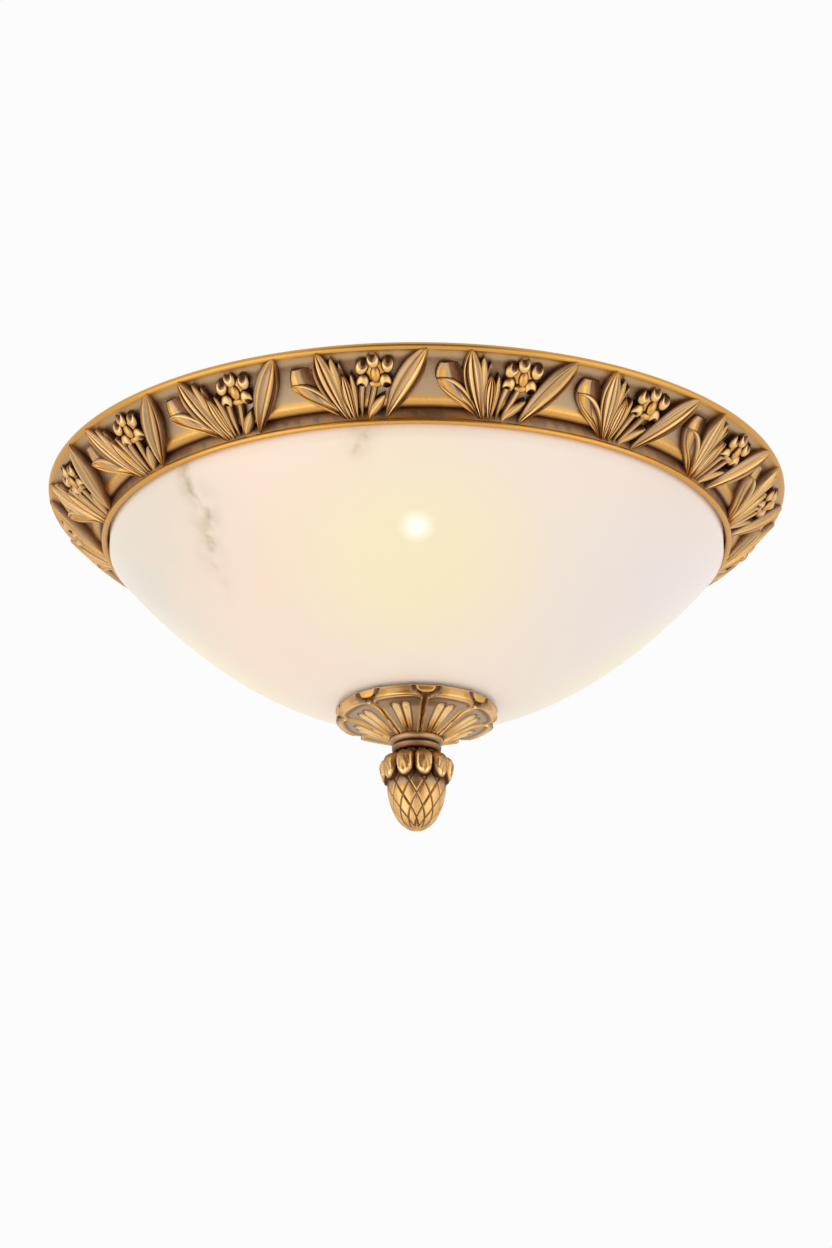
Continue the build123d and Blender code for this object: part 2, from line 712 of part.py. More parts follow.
def make_bulb_cap():
    """A bulb's screw cap: contact, insulator and shell."""
    skirt = cap_start + cap_contact_height + cap_insulator_length
    end = cap_start + cap_length
    return spoke_spun(
        Line((cap_start, 0), (cap_start, cap_contact_radius)),
        Line((cap_start, cap_contact_radius), (cap_start + cap_contact_height, cap_contact_radius)),
        Line((cap_start + cap_contact_height, cap_contact_radius), (skirt, cap_radius)),
        Line((skirt, cap_radius), (end, cap_radius)),
        Line((end, cap_radius), (end, globe_neck_radius)),
        Line((end, globe_neck_radius), (globe_start, globe_neck_radius)),
        Line((globe_start, globe_neck_radius), (globe_start, 0)),
        Line((globe_start, 0), (cap_start, 0)),
    )


def make_globe():
    """A bulb's round glass, on a neck that stands in its cap."""
    tip = globe_start + globe_length
    centre = tip - globe_radius
    neck_end = centre - math.sqrt(globe_radius ** 2 - globe_neck_radius ** 2)
    return spoke_spun(
        Line((globe_start, 0), (globe_start, globe_neck_radius)),
        Line((globe_start, globe_neck_radius), (neck_end, globe_neck_radius)),
        ThreePointArc((neck_end, globe_neck_radius), (centre, globe_radius), (tip, 0)),
        Line((tip, 0), (globe_start, 0)),
    )


# ------------------------------------------------------------------ wiring
def terminal_pole_places():
    """The x position of each pole of the terminal block."""
    pitch = terminal_length / terminal_poles
    first = -pitch * (terminal_poles - 1) / 2
    return [first + pitch * k for k in range(terminal_poles)]


def make_terminal_block():
    """The block on the pan, with a wire mouth and a screw well for each pole."""
    top = -terminal_foot_drop + terminal_height
    block = Pos(0, terminal_centre, top - terminal_height / 2) * Box(
        terminal_length, terminal_depth, terminal_height)
    block = fillet(block.edges().filter_by(Axis.Z), terminal_screw_height)
    for x in terminal_pole_places():
        mouth = Rot(90, 0, 0) * Cylinder(terminal_mouth_radius, terminal_mouth_depth)
        block -= Pos(x, terminal_distance + terminal_mouth_depth / 2, -lead_drop) * mouth
        block -= Pos(x, terminal_centre, 0) * disc(terminal_screw_radius, terminal_screw_height, top)
    return block


def make_terminal_screws():
    """The clamp screws, flush in their wells."""
    top = -terminal_foot_drop + terminal_height
    screw = disc(terminal_screw_radius, terminal_screw_height, top)
    return Compound(children=[Pos(x, terminal_centre, 0) * screw for x in terminal_pole_places()])


def make_earth_screw():
    """The earth screw in the pan's plate."""
    head = disc(earth_head_radius, earth_head_height, -pan_plate_drop + earth_head_height)
    shank = rod_between(earth_screw_radius, -pan_plate_drop - earth_screw_length, -pan_plate_drop)
    return Pos(earth_screw_x, earth_screw_y, 0) * (head + shank)


def lead_route(pole):
    """A lead's corners, from its pole across the pan, down its hole and out to its lampholder."""
    bearing = lamp_bearings()[pole]
    swing = math.radians(bearing - 90)
    spoke = Vector(math.cos(swing), math.sin(swing), 0)
    start_x = lead_start_x(pole)
    start = Vector(start_x, terminal_distance + terminal_mouth_depth - seat_gap, -lead_drop)
    over_hole = spoke * lead_hole_distance + Vector(0, 0, -lead_drop)
    on_axis = spoke * lead_hole_distance + Vector(0, 0, -lamp_axis_drop)
    end = spoke * (holder_start + lead_in_holder - seat_gap) + Vector(0, 0, -lamp_axis_drop)
    clear = rod_radius + lead_radius + lead_rod_clearance
    before_block = Vector(start_x, terminal_distance - lead_bend - lead_radius, -lead_drop)
    round_rod = [Vector(-clear, 0, -lead_drop)] if pole == 0 else []
    return [start, before_block] + round_rod + [over_hole, on_axis, end]


def lead_start_x(pole):
    """The pole that a lead starts from: the front lamp's lead takes the middle one."""
    left, middle, right = terminal_pole_places()
    return [middle, right, left][pole]


def make_lead(pole):
    """The sheathed lead of one lamp, swept along its route."""
    route = lead_route(pole)
    path = FilletPolyline(*route, radius=lead_bend)
    start = route[0]
    profile = Plane(origin=start, z_dir=route[1] - start) * Circle(lead_radius)
    return sweep(profile, path)


def make_grommets():
    """The rubber grommets where the leads go through the pan."""
    top = -pan_plate_drop + grommet_lip
    low = -pan_plate_foot_drop - grommet_lip
    ring = rod_between(lead_hole_radius, low, top)
    for face in (top, -pan_plate_foot_drop):
        ring += disc(lead_hole_radius + grommet_flange, grommet_lip, face)
    ring -= rod_between(grommet_bore, low, top)
    ring = Pos(lead_hole_distance, 0, 0) * ring
    return Compound(children=[along_spoke(ring, bearing) for bearing in lamp_bearings()])


# ------------------------------------------------------------------ petal cup
def cup_side(raise_by):
    """The cup's outer line from the rim to the neck, moved out by raise_by."""
    run = cup_radius - cup_neck_radius
    fall = cup_neck_drop - cup_rim_drop
    length = math.hypot(run, fall)
    out = Vector(fall / length, -run / length)
    rim = Vector(cup_radius, -cup_rim_drop) + out * raise_by
    neck = Vector(cup_neck_radius, -cup_neck_drop) + out * raise_by
    shoulder = rim + (neck - rim) * cup_shoulder_share + out * cup_shoulder_swell
    waist = (rim + neck) / 2 + out * cup_waist_swell
    return [(point.X, point.Y) for point in (rim, shoulder, waist, neck)]


def cup_shell(raise_by, wall):
    """A dish between the cup's line moved out by raise_by and the same line moved in by wall."""
    outside = cup_side(raise_by)
    inside = cup_side(-wall)
    return spun(
        Spline(*outside),
        Line(outside[-1], inside[-1]),
        Spline(*inside[::-1]),
        Line(inside[0], outside[0]),
    )


def petal_face():
    """A petal seen from below: narrow at the neck, wide and round at the tip."""
    half_neck = cup_petal_neck_width / 2
    half_tip = cup_petal_tip_width / 2
    shoulder = cup_radius - cup_petal_tip_length
    middle = (cup_neck_radius + shoulder) / 2
    half_middle = (half_neck + half_tip) / 2 - cup_petal_relief
    left = Spline((-half_neck, -cup_neck_radius), (-half_middle, -middle), (-half_tip, -shoulder))
    tip = ThreePointArc((-half_tip, -shoulder), (0, -cup_radius), (half_tip, -shoulder))
    right = Spline((half_tip, -shoulder), (half_middle, -middle), (half_neck, -cup_neck_radius))
    return make_face(left + tip + right + Line((half_neck, -cup_neck_radius),
                                               (-half_neck, -cup_neck_radius)))


def make_cup():
    """The cast cup: eight raised petals, each with two flutes, over smaller petals behind."""
    low = -cup_neck_drop
    tall = cup_neck_drop - cup_rim_drop
    upward = Vector(0, 0, 1)
    petal = Pos(0, 0, low) * extrude(petal_face(), tall, dir=upward)
    petal &= cup_shell(cup_petal_relief, cup_wall)
    flute_length = cup_flute_outer_radius - cup_flute_inner_radius
    flute_middle = (cup_flute_outer_radius + cup_flute_inner_radius) / 2
    slot = Pos(0, -flute_middle) * Rot(0, 0, 90) * SlotOverall(flute_length, cup_flute_width)
    raised = cup_shell(cup_petal_relief + cup_flute_relief, 0)
    for side in (-1, 1):
        spread = math.degrees(side * cup_flute_spread / 2 / flute_middle)
        flute = Pos(0, 0, low) * extrude(turned(slot, spread), tall, dir=upward)
        petal += flute & raised
    cup = cup_shell(0, cup_wall) & rod_between(cup_back_radius, low, -cup_rim_drop)
    for k in range(cup_petals):
        cup += turned(petal, cup_petal_bearing + 360 / cup_petals * k)
    return cup + cup_boss()


def cup_boss():
    """The plate and neck inside the cup, which seat it under the washer and on the collar."""
    boss = rod_between(washer_radius, -cup_neck_drop, -cup_seat_drop)
    boss += rod_between(cup_neck_radius, -cup_neck_drop, -cup_neck_drop + cup_plate_thickness)
    boss -= rod_between(cup_recess_radius, -cup_neck_drop, -cup_seat_drop - cup_plate_thickness)
    return boss - rod_between(cup_hole_radius, -cup_neck_drop, -cup_seat_drop)


def make_washer():
    """The rubber washer between the bowl's bush and the cup."""
    top = -washer_top_drop
    return disc(washer_radius, washer_thickness, top) - disc(cup_hole_radius, washer_thickness, top)


def make_collar():
    """The turned collar: a bead over a groove and a band."""
    top = -cup_neck_drop
    foot = -collar_foot_drop
    bead_middle = top - collar_bead_round
    groove = bead_middle - collar_bead_round
    bead_inner = collar_radius - collar_bead_round
    band_top = groove - collar_bead_round / 2
    return spun(
        Line((cup_hole_radius, top), (bead_inner, top)),
        ThreePointArc((bead_inner, top), (collar_radius, bead_middle), (bead_inner, groove)),
        Line((bead_inner, groove), (collar_groove_radius, groove)),
        Line((collar_groove_radius, groove), (collar_groove_radius, band_top)),
        Line((collar_groove_radius, band_top), (collar_band_radius, band_top)),
        Line((collar_band_radius, band_top), (acorn_neck_radius, foot)),
        Line((acorn_neck_radius, foot), (cup_hole_radius, foot)),
        Line((cup_hole_radius, foot), (cup_hole_radius, top)),
    )


# ------------------------------------------------------------------ acorn finial
def make_acorn():
    """The finial: an ovoid body under a ring of lobes, bored for the rod."""
    top = -finial_top_drop
    shoulder = -acorn_shoulder_drop
    end = -finial_end_drop
    quarter = math.sqrt(0.5)
    fall = shoulder - end
    body = spun(
        Line((0, top), (acorn_neck_radius, top)),
        Line((acorn_neck_radius, top), (acorn_radius, shoulder)),
        Spline((acorn_radius, shoulder), (acorn_radius * quarter, shoulder - fall * quarter),
               (0, end), tangents=[(0, -1), (-1, 0)]),
        Line((0, end), (0, top)),
    )
    lobe = scale(Sphere(1), (lobe_width / 2, lobe_crest_radius - acorn_neck_radius, lobe_length / 2))
    lobe = Pos(0, -acorn_neck_radius, -lobe_drop) * Rot(lobe_lean, 0, 0) * lobe
    for k in range(lobe_count):
        body += turned(lobe, lobe_bearing + 360 / lobe_count * k)
    body &= rod_between(lobe_crest_radius * 2, end, top)
    return body - rod_between(rod_radius + turning_gap, -rod_end_drop - rod_end_gap, top)


# ------------------------------------------------------------------ the whole light
def main():
    os.makedirs("parts", exist_ok=True)
    save("rim_ring", make_rim())
    sprig = make_sprig()
    for k in range(sprig_count):
        bearing = first_sprig_bearing + 360 / sprig_count * k
        save("sprig_%02d" % (k + 1), turned(sprig, bearing))
    save("rim_screws", make_rim_screws())
    save("ceiling_pan", make_pan())
    save("crossbar", make_crossbar())
    save("crossbar_studs", make_studs())
    save("crossbar_nuts", make_bar_nuts())
    save("cap_nuts", make_cap_nuts())
    save("centre_rod", make_rod())
    save("rod_nuts", make_rod_nuts())
    save("terminal_block", make_terminal_block())
    save("terminal_screws", make_terminal_screws())
    save("earth_screw", make_earth_screw())
    save("lead_grommets", make_grommets())
    bearings = lamp_bearings()
    bracket = make_bracket()
    holder = make_lampholder()
    bulb_cap = make_bulb_cap()
    globe = make_globe()
    for k, bearing in enumerate(bearings):
        number = str(k + 1)
        save("lamp_bracket_" + number, along_spoke(bracket, bearing))
        save("lampholder_" + number, along_spoke(holder, bearing))
        save("lamp_lead_" + number, make_lead(k))
        save("bulb_cap_" + number, along_spoke(bulb_cap, bearing))
        save("bulb_globe_" + number, along_spoke(globe, bearing))
    screw = bracket_screw()
    nut = bracket_nut()
    pair = holder_screw_pair()
    save("bracket_screws", Compound(children=[along_spoke(screw, b) for b in bearings]))
    save("bracket_nuts", Compound(children=[along_spoke(nut, b) for b in bearings]))
    save("holder_screws", Compound(children=[along_spoke(s, b) for b in bearings for s in pair]))
    save("alabaster_bowl", make_bowl())
    save("bowl_gasket", make_gasket())
    save("bowl_bush", make_bush())
    save("cup_washer", make_washer())
    save("petal_cup", make_cup())
    save("finial_collar", make_collar())
    save("acorn_finial", make_acorn())


if __name__ == "__main__":
    main()
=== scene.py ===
import math

import bmesh
import bpy
from mathutils import Matrix, Vector


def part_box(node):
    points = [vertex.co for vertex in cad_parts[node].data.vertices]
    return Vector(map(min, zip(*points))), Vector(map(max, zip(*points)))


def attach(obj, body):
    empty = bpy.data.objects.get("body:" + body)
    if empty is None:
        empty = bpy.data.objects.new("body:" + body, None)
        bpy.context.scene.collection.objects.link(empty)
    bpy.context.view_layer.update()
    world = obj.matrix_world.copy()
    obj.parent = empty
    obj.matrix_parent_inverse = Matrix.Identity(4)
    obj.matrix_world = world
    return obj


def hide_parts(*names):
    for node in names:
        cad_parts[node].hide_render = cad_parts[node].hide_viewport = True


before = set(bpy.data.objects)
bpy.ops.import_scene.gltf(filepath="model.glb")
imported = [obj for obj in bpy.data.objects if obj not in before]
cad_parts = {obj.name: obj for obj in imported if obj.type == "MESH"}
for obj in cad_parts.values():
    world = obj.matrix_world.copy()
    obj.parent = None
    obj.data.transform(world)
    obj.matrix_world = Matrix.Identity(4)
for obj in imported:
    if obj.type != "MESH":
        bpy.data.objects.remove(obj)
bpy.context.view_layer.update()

bl_info = {
    "name": "Alabaster bowl ceiling light",
    "version": (1, 0, 0),
    "blender": (4, 5, 0),
    "location": "View3D > Sidebar > Ceiling light",
    "description": "Builds the looks of a ceiling light: an alabaster bowl in a brass rim",
    "category": "Object",
}

# Positions are in metres, with the origin at the centre of the ceiling plane and +Z up. A bearing
# is measured about Z from the front (-Y) towards +X.
MM = 0.001
ROUND = 2 * math.pi
MERGE = MM * 0.01               # points nearer than this become one
SHARP = 35.0                    # faces that meet at more degrees than this show an edge
CAST_SHARP = 60.0               # the same on soft-edged castings

_, rim_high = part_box("rim_ring")
bowl_low, bowl_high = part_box("alabaster_bowl")
_, cup_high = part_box("petal_cup")
collar_low, collar_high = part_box("finial_collar")
acorn_low, acorn_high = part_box("acorn_finial")


# ------------------------------------------------------------------ sizes and colours
def length(name, description, millimetres):
    """A length property, whose default is given in millimetres."""
    return bpy.props.FloatProperty(name=name, description=description, default=millimetres * MM,
                                   min=0.0, precision=4, unit="LENGTH")


def turn(name, description, degrees):
    """An angle property, whose default is given in degrees."""
    return bpy.props.FloatProperty(name=name, description=description,
                                   default=math.radians(degrees), unit="ROTATION")


def linear(hex_colour):
    """An sRGB hex colour as linear red, green, blue and alpha."""
    channels = []
    for start in (1, 3, 5):
        value = int(hex_colour[start:start + 2], 16) / 255
        channels.append(value / 12.92 if value <= 0.04045 else ((value + 0.055) / 1.055) ** 2.4)
    return (*channels, 1.0)


def colour(name, description, hex_colour):
    """A colour property, whose default is an sRGB hex colour."""
    return bpy.props.FloatVectorProperty(name=name, description=description, subtype="COLOR",
                                         size=4, min=0.0, max=1.0, default=linear(hex_colour))


class RimSizes(bpy.types.PropertyGroup):
    """Sizes of the brass ring's section."""
    edge_round: length("Edge radius", "Radius of the rounded outer edge", 2.4)
    top_inset: length("Band top inset", "From the outer edge in to the top of the band", 3.6)
    top_drop: length("Band top drop", "From the ceiling down to the top of the band", 5.0)
    foot_radius: length("Band foot radius", "Radius of the foot of the band", 213.8)
    foot_drop: length("Band foot drop", "From the ceiling down to the foot of the band", 28.2)
    lip_step: length("Lip step", "From the foot of the band in to the upright face", 1.2)
    lip_height: length("Lip height", "Height of the upright face", 7.2)
    bead_round: length("Bead radius", "Radius of the bead under the upright face", 2.0)
    wall: length("Wall", "Thickness of the cast band", 2.5)
    seat_inner: length("Seat radius", "Inner radius of the flange over the bowl", 188.0)
    seat_wall: length("Seat thickness", "Thickness of the flange over the bowl", 2.0)
    roll_width: length("Roll width", "Width of the rounded moulding at the foot of the band", 8.0)
    roll_height: length("Roll height", "How far the rounded moulding stands out", 1.3)
    hollow: length("Cove depth", "How far the band's cove bends inwards", 1.5)


class SprigSizes(bpy.types.PropertyGroup):
    """Sizes of the sixteen sprigs."""
    first_bearing: turn("First bearing", "Where the first sprig's flower stands", -6.3)
    fold_drop: length("Fold drop", "How far the curled leaf's top rolls back", 2.2)
    petal_width: length("Petal width", "Width of a petal", 8.2)
    petal_length: length("Petal length", "Length of a petal", 10.4)
    bud_width: length("Bud width", "Width of the bud in the flower's middle", 6.4)
    hollow_depth: length("Petal hollow", "Depth of the hollow at a petal's tip", 3.0)


class BowlSizes(bpy.types.PropertyGroup):
    """Sizes of the turned alabaster bowl."""
    wall: length("Wall", "Thickness of the stone", 10.0)
    lip_height: length("Lip height", "Height of the upright part of the wall", 14.0)
    hole_radius: length("Hole radius", "Radius of the hole for the rod", 8.0)
    pad_radius: length("Pad radius", "Radius of the flat round the hole", 18.0)
    curve_power: bpy.props.FloatProperty(
        name="Curve power", description="The side rises as the radius to this power", default=2.13)


class CupSizes(bpy.types.PropertyGroup):
    """Sizes of the petal cup and the collar."""
    rim_radius: length("Rim radius", "Radius at the petal tips", 53.5)
    neck_radius: length("Neck radius", "Radius where the cup meets the collar", 17.0)
    neck_rise: length("Neck rise", "How far the finished neck lies above the rough casting's", 1.8)
    waist_hollow: length("Waist hollow", "How far the side is hollowed half way", 1.0)
    shoulder_swell: length("Shoulder swell", "How far it bulges near the rim", 3.2)
    wall: length("Wall", "Thickness of the cast brass", 1.6)
    petal_bearing: turn("Petal bearing", "Where the first petal's middle lies", -15.7)
    petal_relief: length("Petal relief", "How far a petal stands out of the smaller ones", 2.2)
    crest_share: bpy.props.FloatProperty(
        name="Crest", description="Where a tip rolls over, from the neck (0) to the rim (1)",
        default=0.85)
    line_width: length("Outline width", "Width of the raised line round a petal", 1.0)
    flute_spread: turn("Flute spread", "From a petal's middle line to each flute's", 5.0)
    flute_width: turn("Flute width", "Half the width of a flute", 4.3)
    flute_relief: length("Flute relief", "How far a flute stands out", 1.6)
    tip_roll: length("Tip roll", "How far the rolled tips stand out", 1.5)
    back_width: length("Back petal width", "Half the width of a smaller petal behind", 7.0)
    back_length: bpy.props.FloatProperty(
        name="Back petal length", description="How far it hangs, as a share of the side",
        default=0.12)


class FinialSizes(bpy.types.PropertyGroup):
    """Sizes of the acorn finial."""
    body_radius: length("Body radius", "Largest radius of the acorn", 19.6)
    shoulder_drop: length("Shoulder drop", "From the ceiling down to the widest place", 205.0)
    neck_radius: length("Neck radius", "Radius under the collar", 14.5)
    bore_radius: length("Bore radius", "Radius of the bore for the rod", 5.05)
    lobe_bearing: turn("Lobe bearing", "Where the first lobe lies", 13.6)
    lobe_crest: length("Lobe crest", "Radius to the crest of a lobe", 24.6)
    lobe_width: length("Lobe width", "Width of a lobe", 12.4)
    lobe_length: length("Lobe length", "Length of a lobe", 20.0)
    lobe_drop: length("Lobe drop", "From the ceiling down to the lobes' middles", 196.0)
    lobe_lean: turn("Lobe lean", "How far a lobe's top leans in", 14.0)
    groove_width: length("Groove width", "Half width of a lattice groove", 0.75)
    groove_depth: length("Groove depth", "Depth of a lattice groove", 0.9)
    diamond_length: length("Diamond length", "Length of a lattice diamond along the side", 17.4)
    lattice_drop: length("Lattice drop", "From the ceiling down to a crossing", 217.2)
    neck_rise: length("Neck rise", "How far the finished neck lies above the rough casting's", 1.8)


class FinishColours(bpy.types.PropertyGroup):
    """Colours of the brass, the stone and the fittings."""
    # The brass colours give patina and rubbing, and painted light too: the shadow colour is also
    # painted shade, and the bright one is also painted highlight.
    brass_shadow: colour("Brass shadow", "Patina in the deepest places", "#55341D")
    brass_brown: colour("Brass brown", "Brown patina beside them", "#8A6245")
    brass_patina: colour("Brass patina", "Greyer patina on the flats", "#B09779")
    brass_gold: colour("Brass gold", "Rubbed brass", "#D29A48")
    brass_bright: colour("Brass bright", "Brass on the most rubbed edges", "#F7DCAC")
    # The alabaster colours give the stone's tone and also painted light, since the stone gives them
    # off as a glow.
    stone_grey: colour("Alabaster grey", "Layers of greyer stone", "#DFD9CB")
    stone_peach: colour("Alabaster peach", "Layers of peach stone", "#F8E1CC")
    stone: colour("Alabaster cream", "The main, cream layers of the stone", "#F6E6D5")
    stone_lilac: colour("Alabaster lilac", "Layers of faintly lilac stone", "#EDE3E1")
    stone_vein: colour("Alabaster vein", "Veins in the stone", "#A39063")
    stone_glow: colour("Alabaster glow", "Stone with a lamp close behind it", "#F8EAC2")
    spot_light: colour("Lamp spot", "The bright spot in front of each lamp", "#FFFDF4")
    pan_white: colour("Pan white", "Enamel on the ceiling pan", "#F1F0EA")
    zinc: colour("Zinc", "Zinc plating on the steel fittings", "#B9BCBF")
    rubber: colour("Rubber", "Rubber seals", "#1E1D1C")
    porcelain: colour("Porcelain", "Glazed lampholders", "#F0EDE4")
    sheath: colour("Lead sheath", "Sheaths of the internal leads", "#E6E1D6")
    terminal: colour("Terminal block", "Moulded terminal block", "#DCD8CC")
    lamp_glass: colour("Lamp glass", "Frosted glass of the lamps", "#FBF4E8")
    lamp_light: colour("Lamp light", "Light of the lamps", "#FFD9A6")


class StageSizes(bpy.types.PropertyGroup):
    """The camera, the floor and the lamps of the studio."""
    camera_distance: length("Camera distance", "From the camera to the light's origin", 2492.5)
    camera_below: turn("Camera below", "How far below the horizon the camera stands", 22.95)
    camera_pitch: turn("Camera pitch", "How far the camera looks up", 20.98)
    floor_drop: length("Floor drop", "From the ceiling plane down to the floor", 3200.0)
    floor_colour: colour("Floor", "The pale floor", "#F4F2EE")
    card_width: length("Card width", "Width of the dark card behind the camera", 3400.0)
    card_low: length("Card low", "From the ceiling plane down to the card's lower edge", 800.0)
    card_high: length("Card high", "From the ceiling plane up to its upper edge", 2600.0)
    card_back: length("Card distance", "From the light back to the card", 3400.0)
    card_colour: colour("Card", "The dark card", "#7A5636")


def settings(context):
    """The scene's sizes and colours."""
    return context.scene.ceiling_light


class LightSettings(bpy.types.PropertyGroup):
    """All the sizes and colours of the ceiling light."""
    rim: bpy.props.PointerProperty(type=RimSizes, name="Rim")
    sprig: bpy.props.PointerProperty(type=SprigSizes, name="Sprigs")
    bowl: bpy.props.PointerProperty(type=BowlSizes, name="Bowl")
    cup: bpy.props.PointerProperty(type=CupSizes, name="Petal cup")
    finial: bpy.props.PointerProperty(type=FinialSizes, name="Finial")
    finish: bpy.props.PointerProperty(type=FinishColours, name="Finishes")
    stage: bpy.props.PointerProperty(type=StageSizes, name="Stage")


# ------------------------------------------------------------------ materials
def set_node(tree, node, sockets=(), stops=(), **values):
    """Give a node its settings, its sockets' values or links, and its colour ramp's stops."""
    pairs = list(sockets)
    for name, value in values.items():
        if hasattr(node, name):
            setattr(node, name, value)
        else:
            pairs.append((name.replace("_", " "), value))
    for socket, value in pairs:
        if isinstance(value, bpy.types.NodeSocket):
            tree.links.new(value, node.inputs[socket])
        else:
            node.inputs[socket].default_value = value
    if stops:
        elements = node.color_ramp.elements
        while len(elements) < len(stops):
            elements.new(1.0)
        for element, (place, shade) in zip(elements, stops):
            element.position = place
            element.color = shade
    return node


def add_node(tree, kind, sockets=(), **values):
    """Add a node with its settings, values, links and stops."""
    return set_node(tree, tree.nodes.new(kind), sockets, **values)


def new_material(name):
    """An empty node material and its surface shader."""
    material = bpy.data.materials.new(name)
    material.use_nodes = True
    tree = material.node_tree
    return material, tree, tree.nodes["Principled BSDF"]


def antique_brass(finish):
    """Cast brass: a brown patina, gold where rubbing bares it, and painted shade and highlights."""
    # The attribute is 1 on rubbed edges and 0 in recesses. It holds the patina and the rubbing, and
    # also painted shade in recesses, creases and under overhangs, and painted highlights on edges.
    # A fine mottle breaks its steps up, as hand rubbing does.
    mottle_size = 2 * MM
    mottle_share = 0.14
    dull, polished = 0.55, 0.26
    material, tree, shader = new_material("Antique brass")
    place = add_node(tree, "ShaderNodeTexCoord")
    wear_and_light = add_node(tree, "ShaderNodeAttribute", attribute_name="wear_and_light")
    mottle = add_node(tree, "ShaderNodeTexNoise", Vector=place.outputs["Object"],
                      Scale=1 / mottle_size, Detail=5.0, Roughness=0.6)
    spread = add_node(tree, "ShaderNodeMath", [(0, mottle.outputs["Fac"]), (1, mottle_share),
                                               (2, -mottle_share / 2)], operation="MULTIPLY_ADD")
    lit_and_worn = add_node(tree, "ShaderNodeMath",
                    [(0, wear_and_light.outputs["Fac"]), (1, spread.outputs["Value"])],
                    operation="ADD", use_clamp=True)
    # Patina and painted shade at the dark end, rubbed gold and painted highlight at the bright end.
    shades = add_node(tree, "ShaderNodeValToRGB", Fac=lit_and_worn.outputs["Value"], stops=[
        (0.0, finish.brass_shadow), (0.2, finish.brass_brown), (0.42, finish.brass_patina),
        (0.7, finish.brass_gold), (1.0, finish.brass_bright)])
    rough = add_node(tree, "ShaderNodeMapRange", Value=lit_and_worn.outputs["Value"], To_Min=dull,
                     To_Max=polished)
    set_node(tree, shader, Base_Color=shades.outputs["Color"],
             Roughness=rough.outputs["Result"], Metallic=1.0)
    return material


def brass(context):
    """The one antique brass, made the first time that it is asked for."""
    return bpy.data.materials.get("Antique brass") or antique_brass(settings(context).finish)


def plain_material(name, shade, roughness, metallic=0.0, grain=0.0, grain_size=1.0):
    """A material of one colour, with a mottle in its roughness that is grain_size mm across."""
    material, tree, shader = new_material(name)
    if grain:
        place = add_node(tree, "ShaderNodeTexCoord")
        mottle = add_node(tree, "ShaderNodeTexNoise", Vector=place.outputs["Object"],
                          Scale=1 / (grain_size * MM), Detail=3.0)
        rough = add_node(tree, "ShaderNodeMapRange", Value=mottle.outputs["Fac"],
                         To_Min=roughness - grain, To_Max=roughness + grain)
        roughness = rough.outputs["Result"]
    set_node(tree, shader, Base_Color=shade, Metallic=metallic, Roughness=roughness)
    return material


# Veins of the stone: a point on each, the way across it, how far it runs, and its strength.
stone_veins = [
    ((-0.140, -0.128, -0.060), (0.93, -0.36, 0.04), 0.080, 0.75),
    ((-0.034, -0.204, -0.043), (0.88, 0.30, -0.36), 0.030, 0.55),
    ((0.130, 0.130, -0.065), (0.45, -0.85, 0.25), 0.085, 0.65),
    ((-0.060, 0.185, -0.050), (0.90, 0.32, 0.30), 0.060, 0.6),
    ((0.175, 0.050, -0.070), (0.25, 0.95, 0.15), 0.055, 0.5),
]
CLOUD_SIZE = 110 * MM           # size of the soft clouding in the layers
CLOUD_DRIFT = 0.16              # how far it moves their bounds, in metres
TONE_AND_LIGHT_ENDS = (-0.14, 0.29)      # X where the first colour band starts and the last one ends
RIM_WARMTH = 0.55               # how far the stone turns peach at the rim
GLOW_REACH = (62 * MM, 125 * MM)    # a bulb's glow is full within the first, none at the second
SPOT_REACH = (1 * MM, 16 * MM)
SPOT_PLACE = (62 * MM, 42 * MM)     # from a bulb out to its bright spot, and down to it
STONE_LIGHT = 0.176             # painted glow for light through the stone, and what a spot adds to it
SPOT_LIGHT = 0.2
VEIN_WANDER = 0.034             # how far the veins wander, in metres
WANDER_SIZE = 40 * MM
BREAK_SIZE = 12 * MM
LINE_WIDTH, LINE_SHARE = 4.5 * MM, 0.45
HAZE_WIDTH, HAZE_SHARE = 18 * MM, 0.5


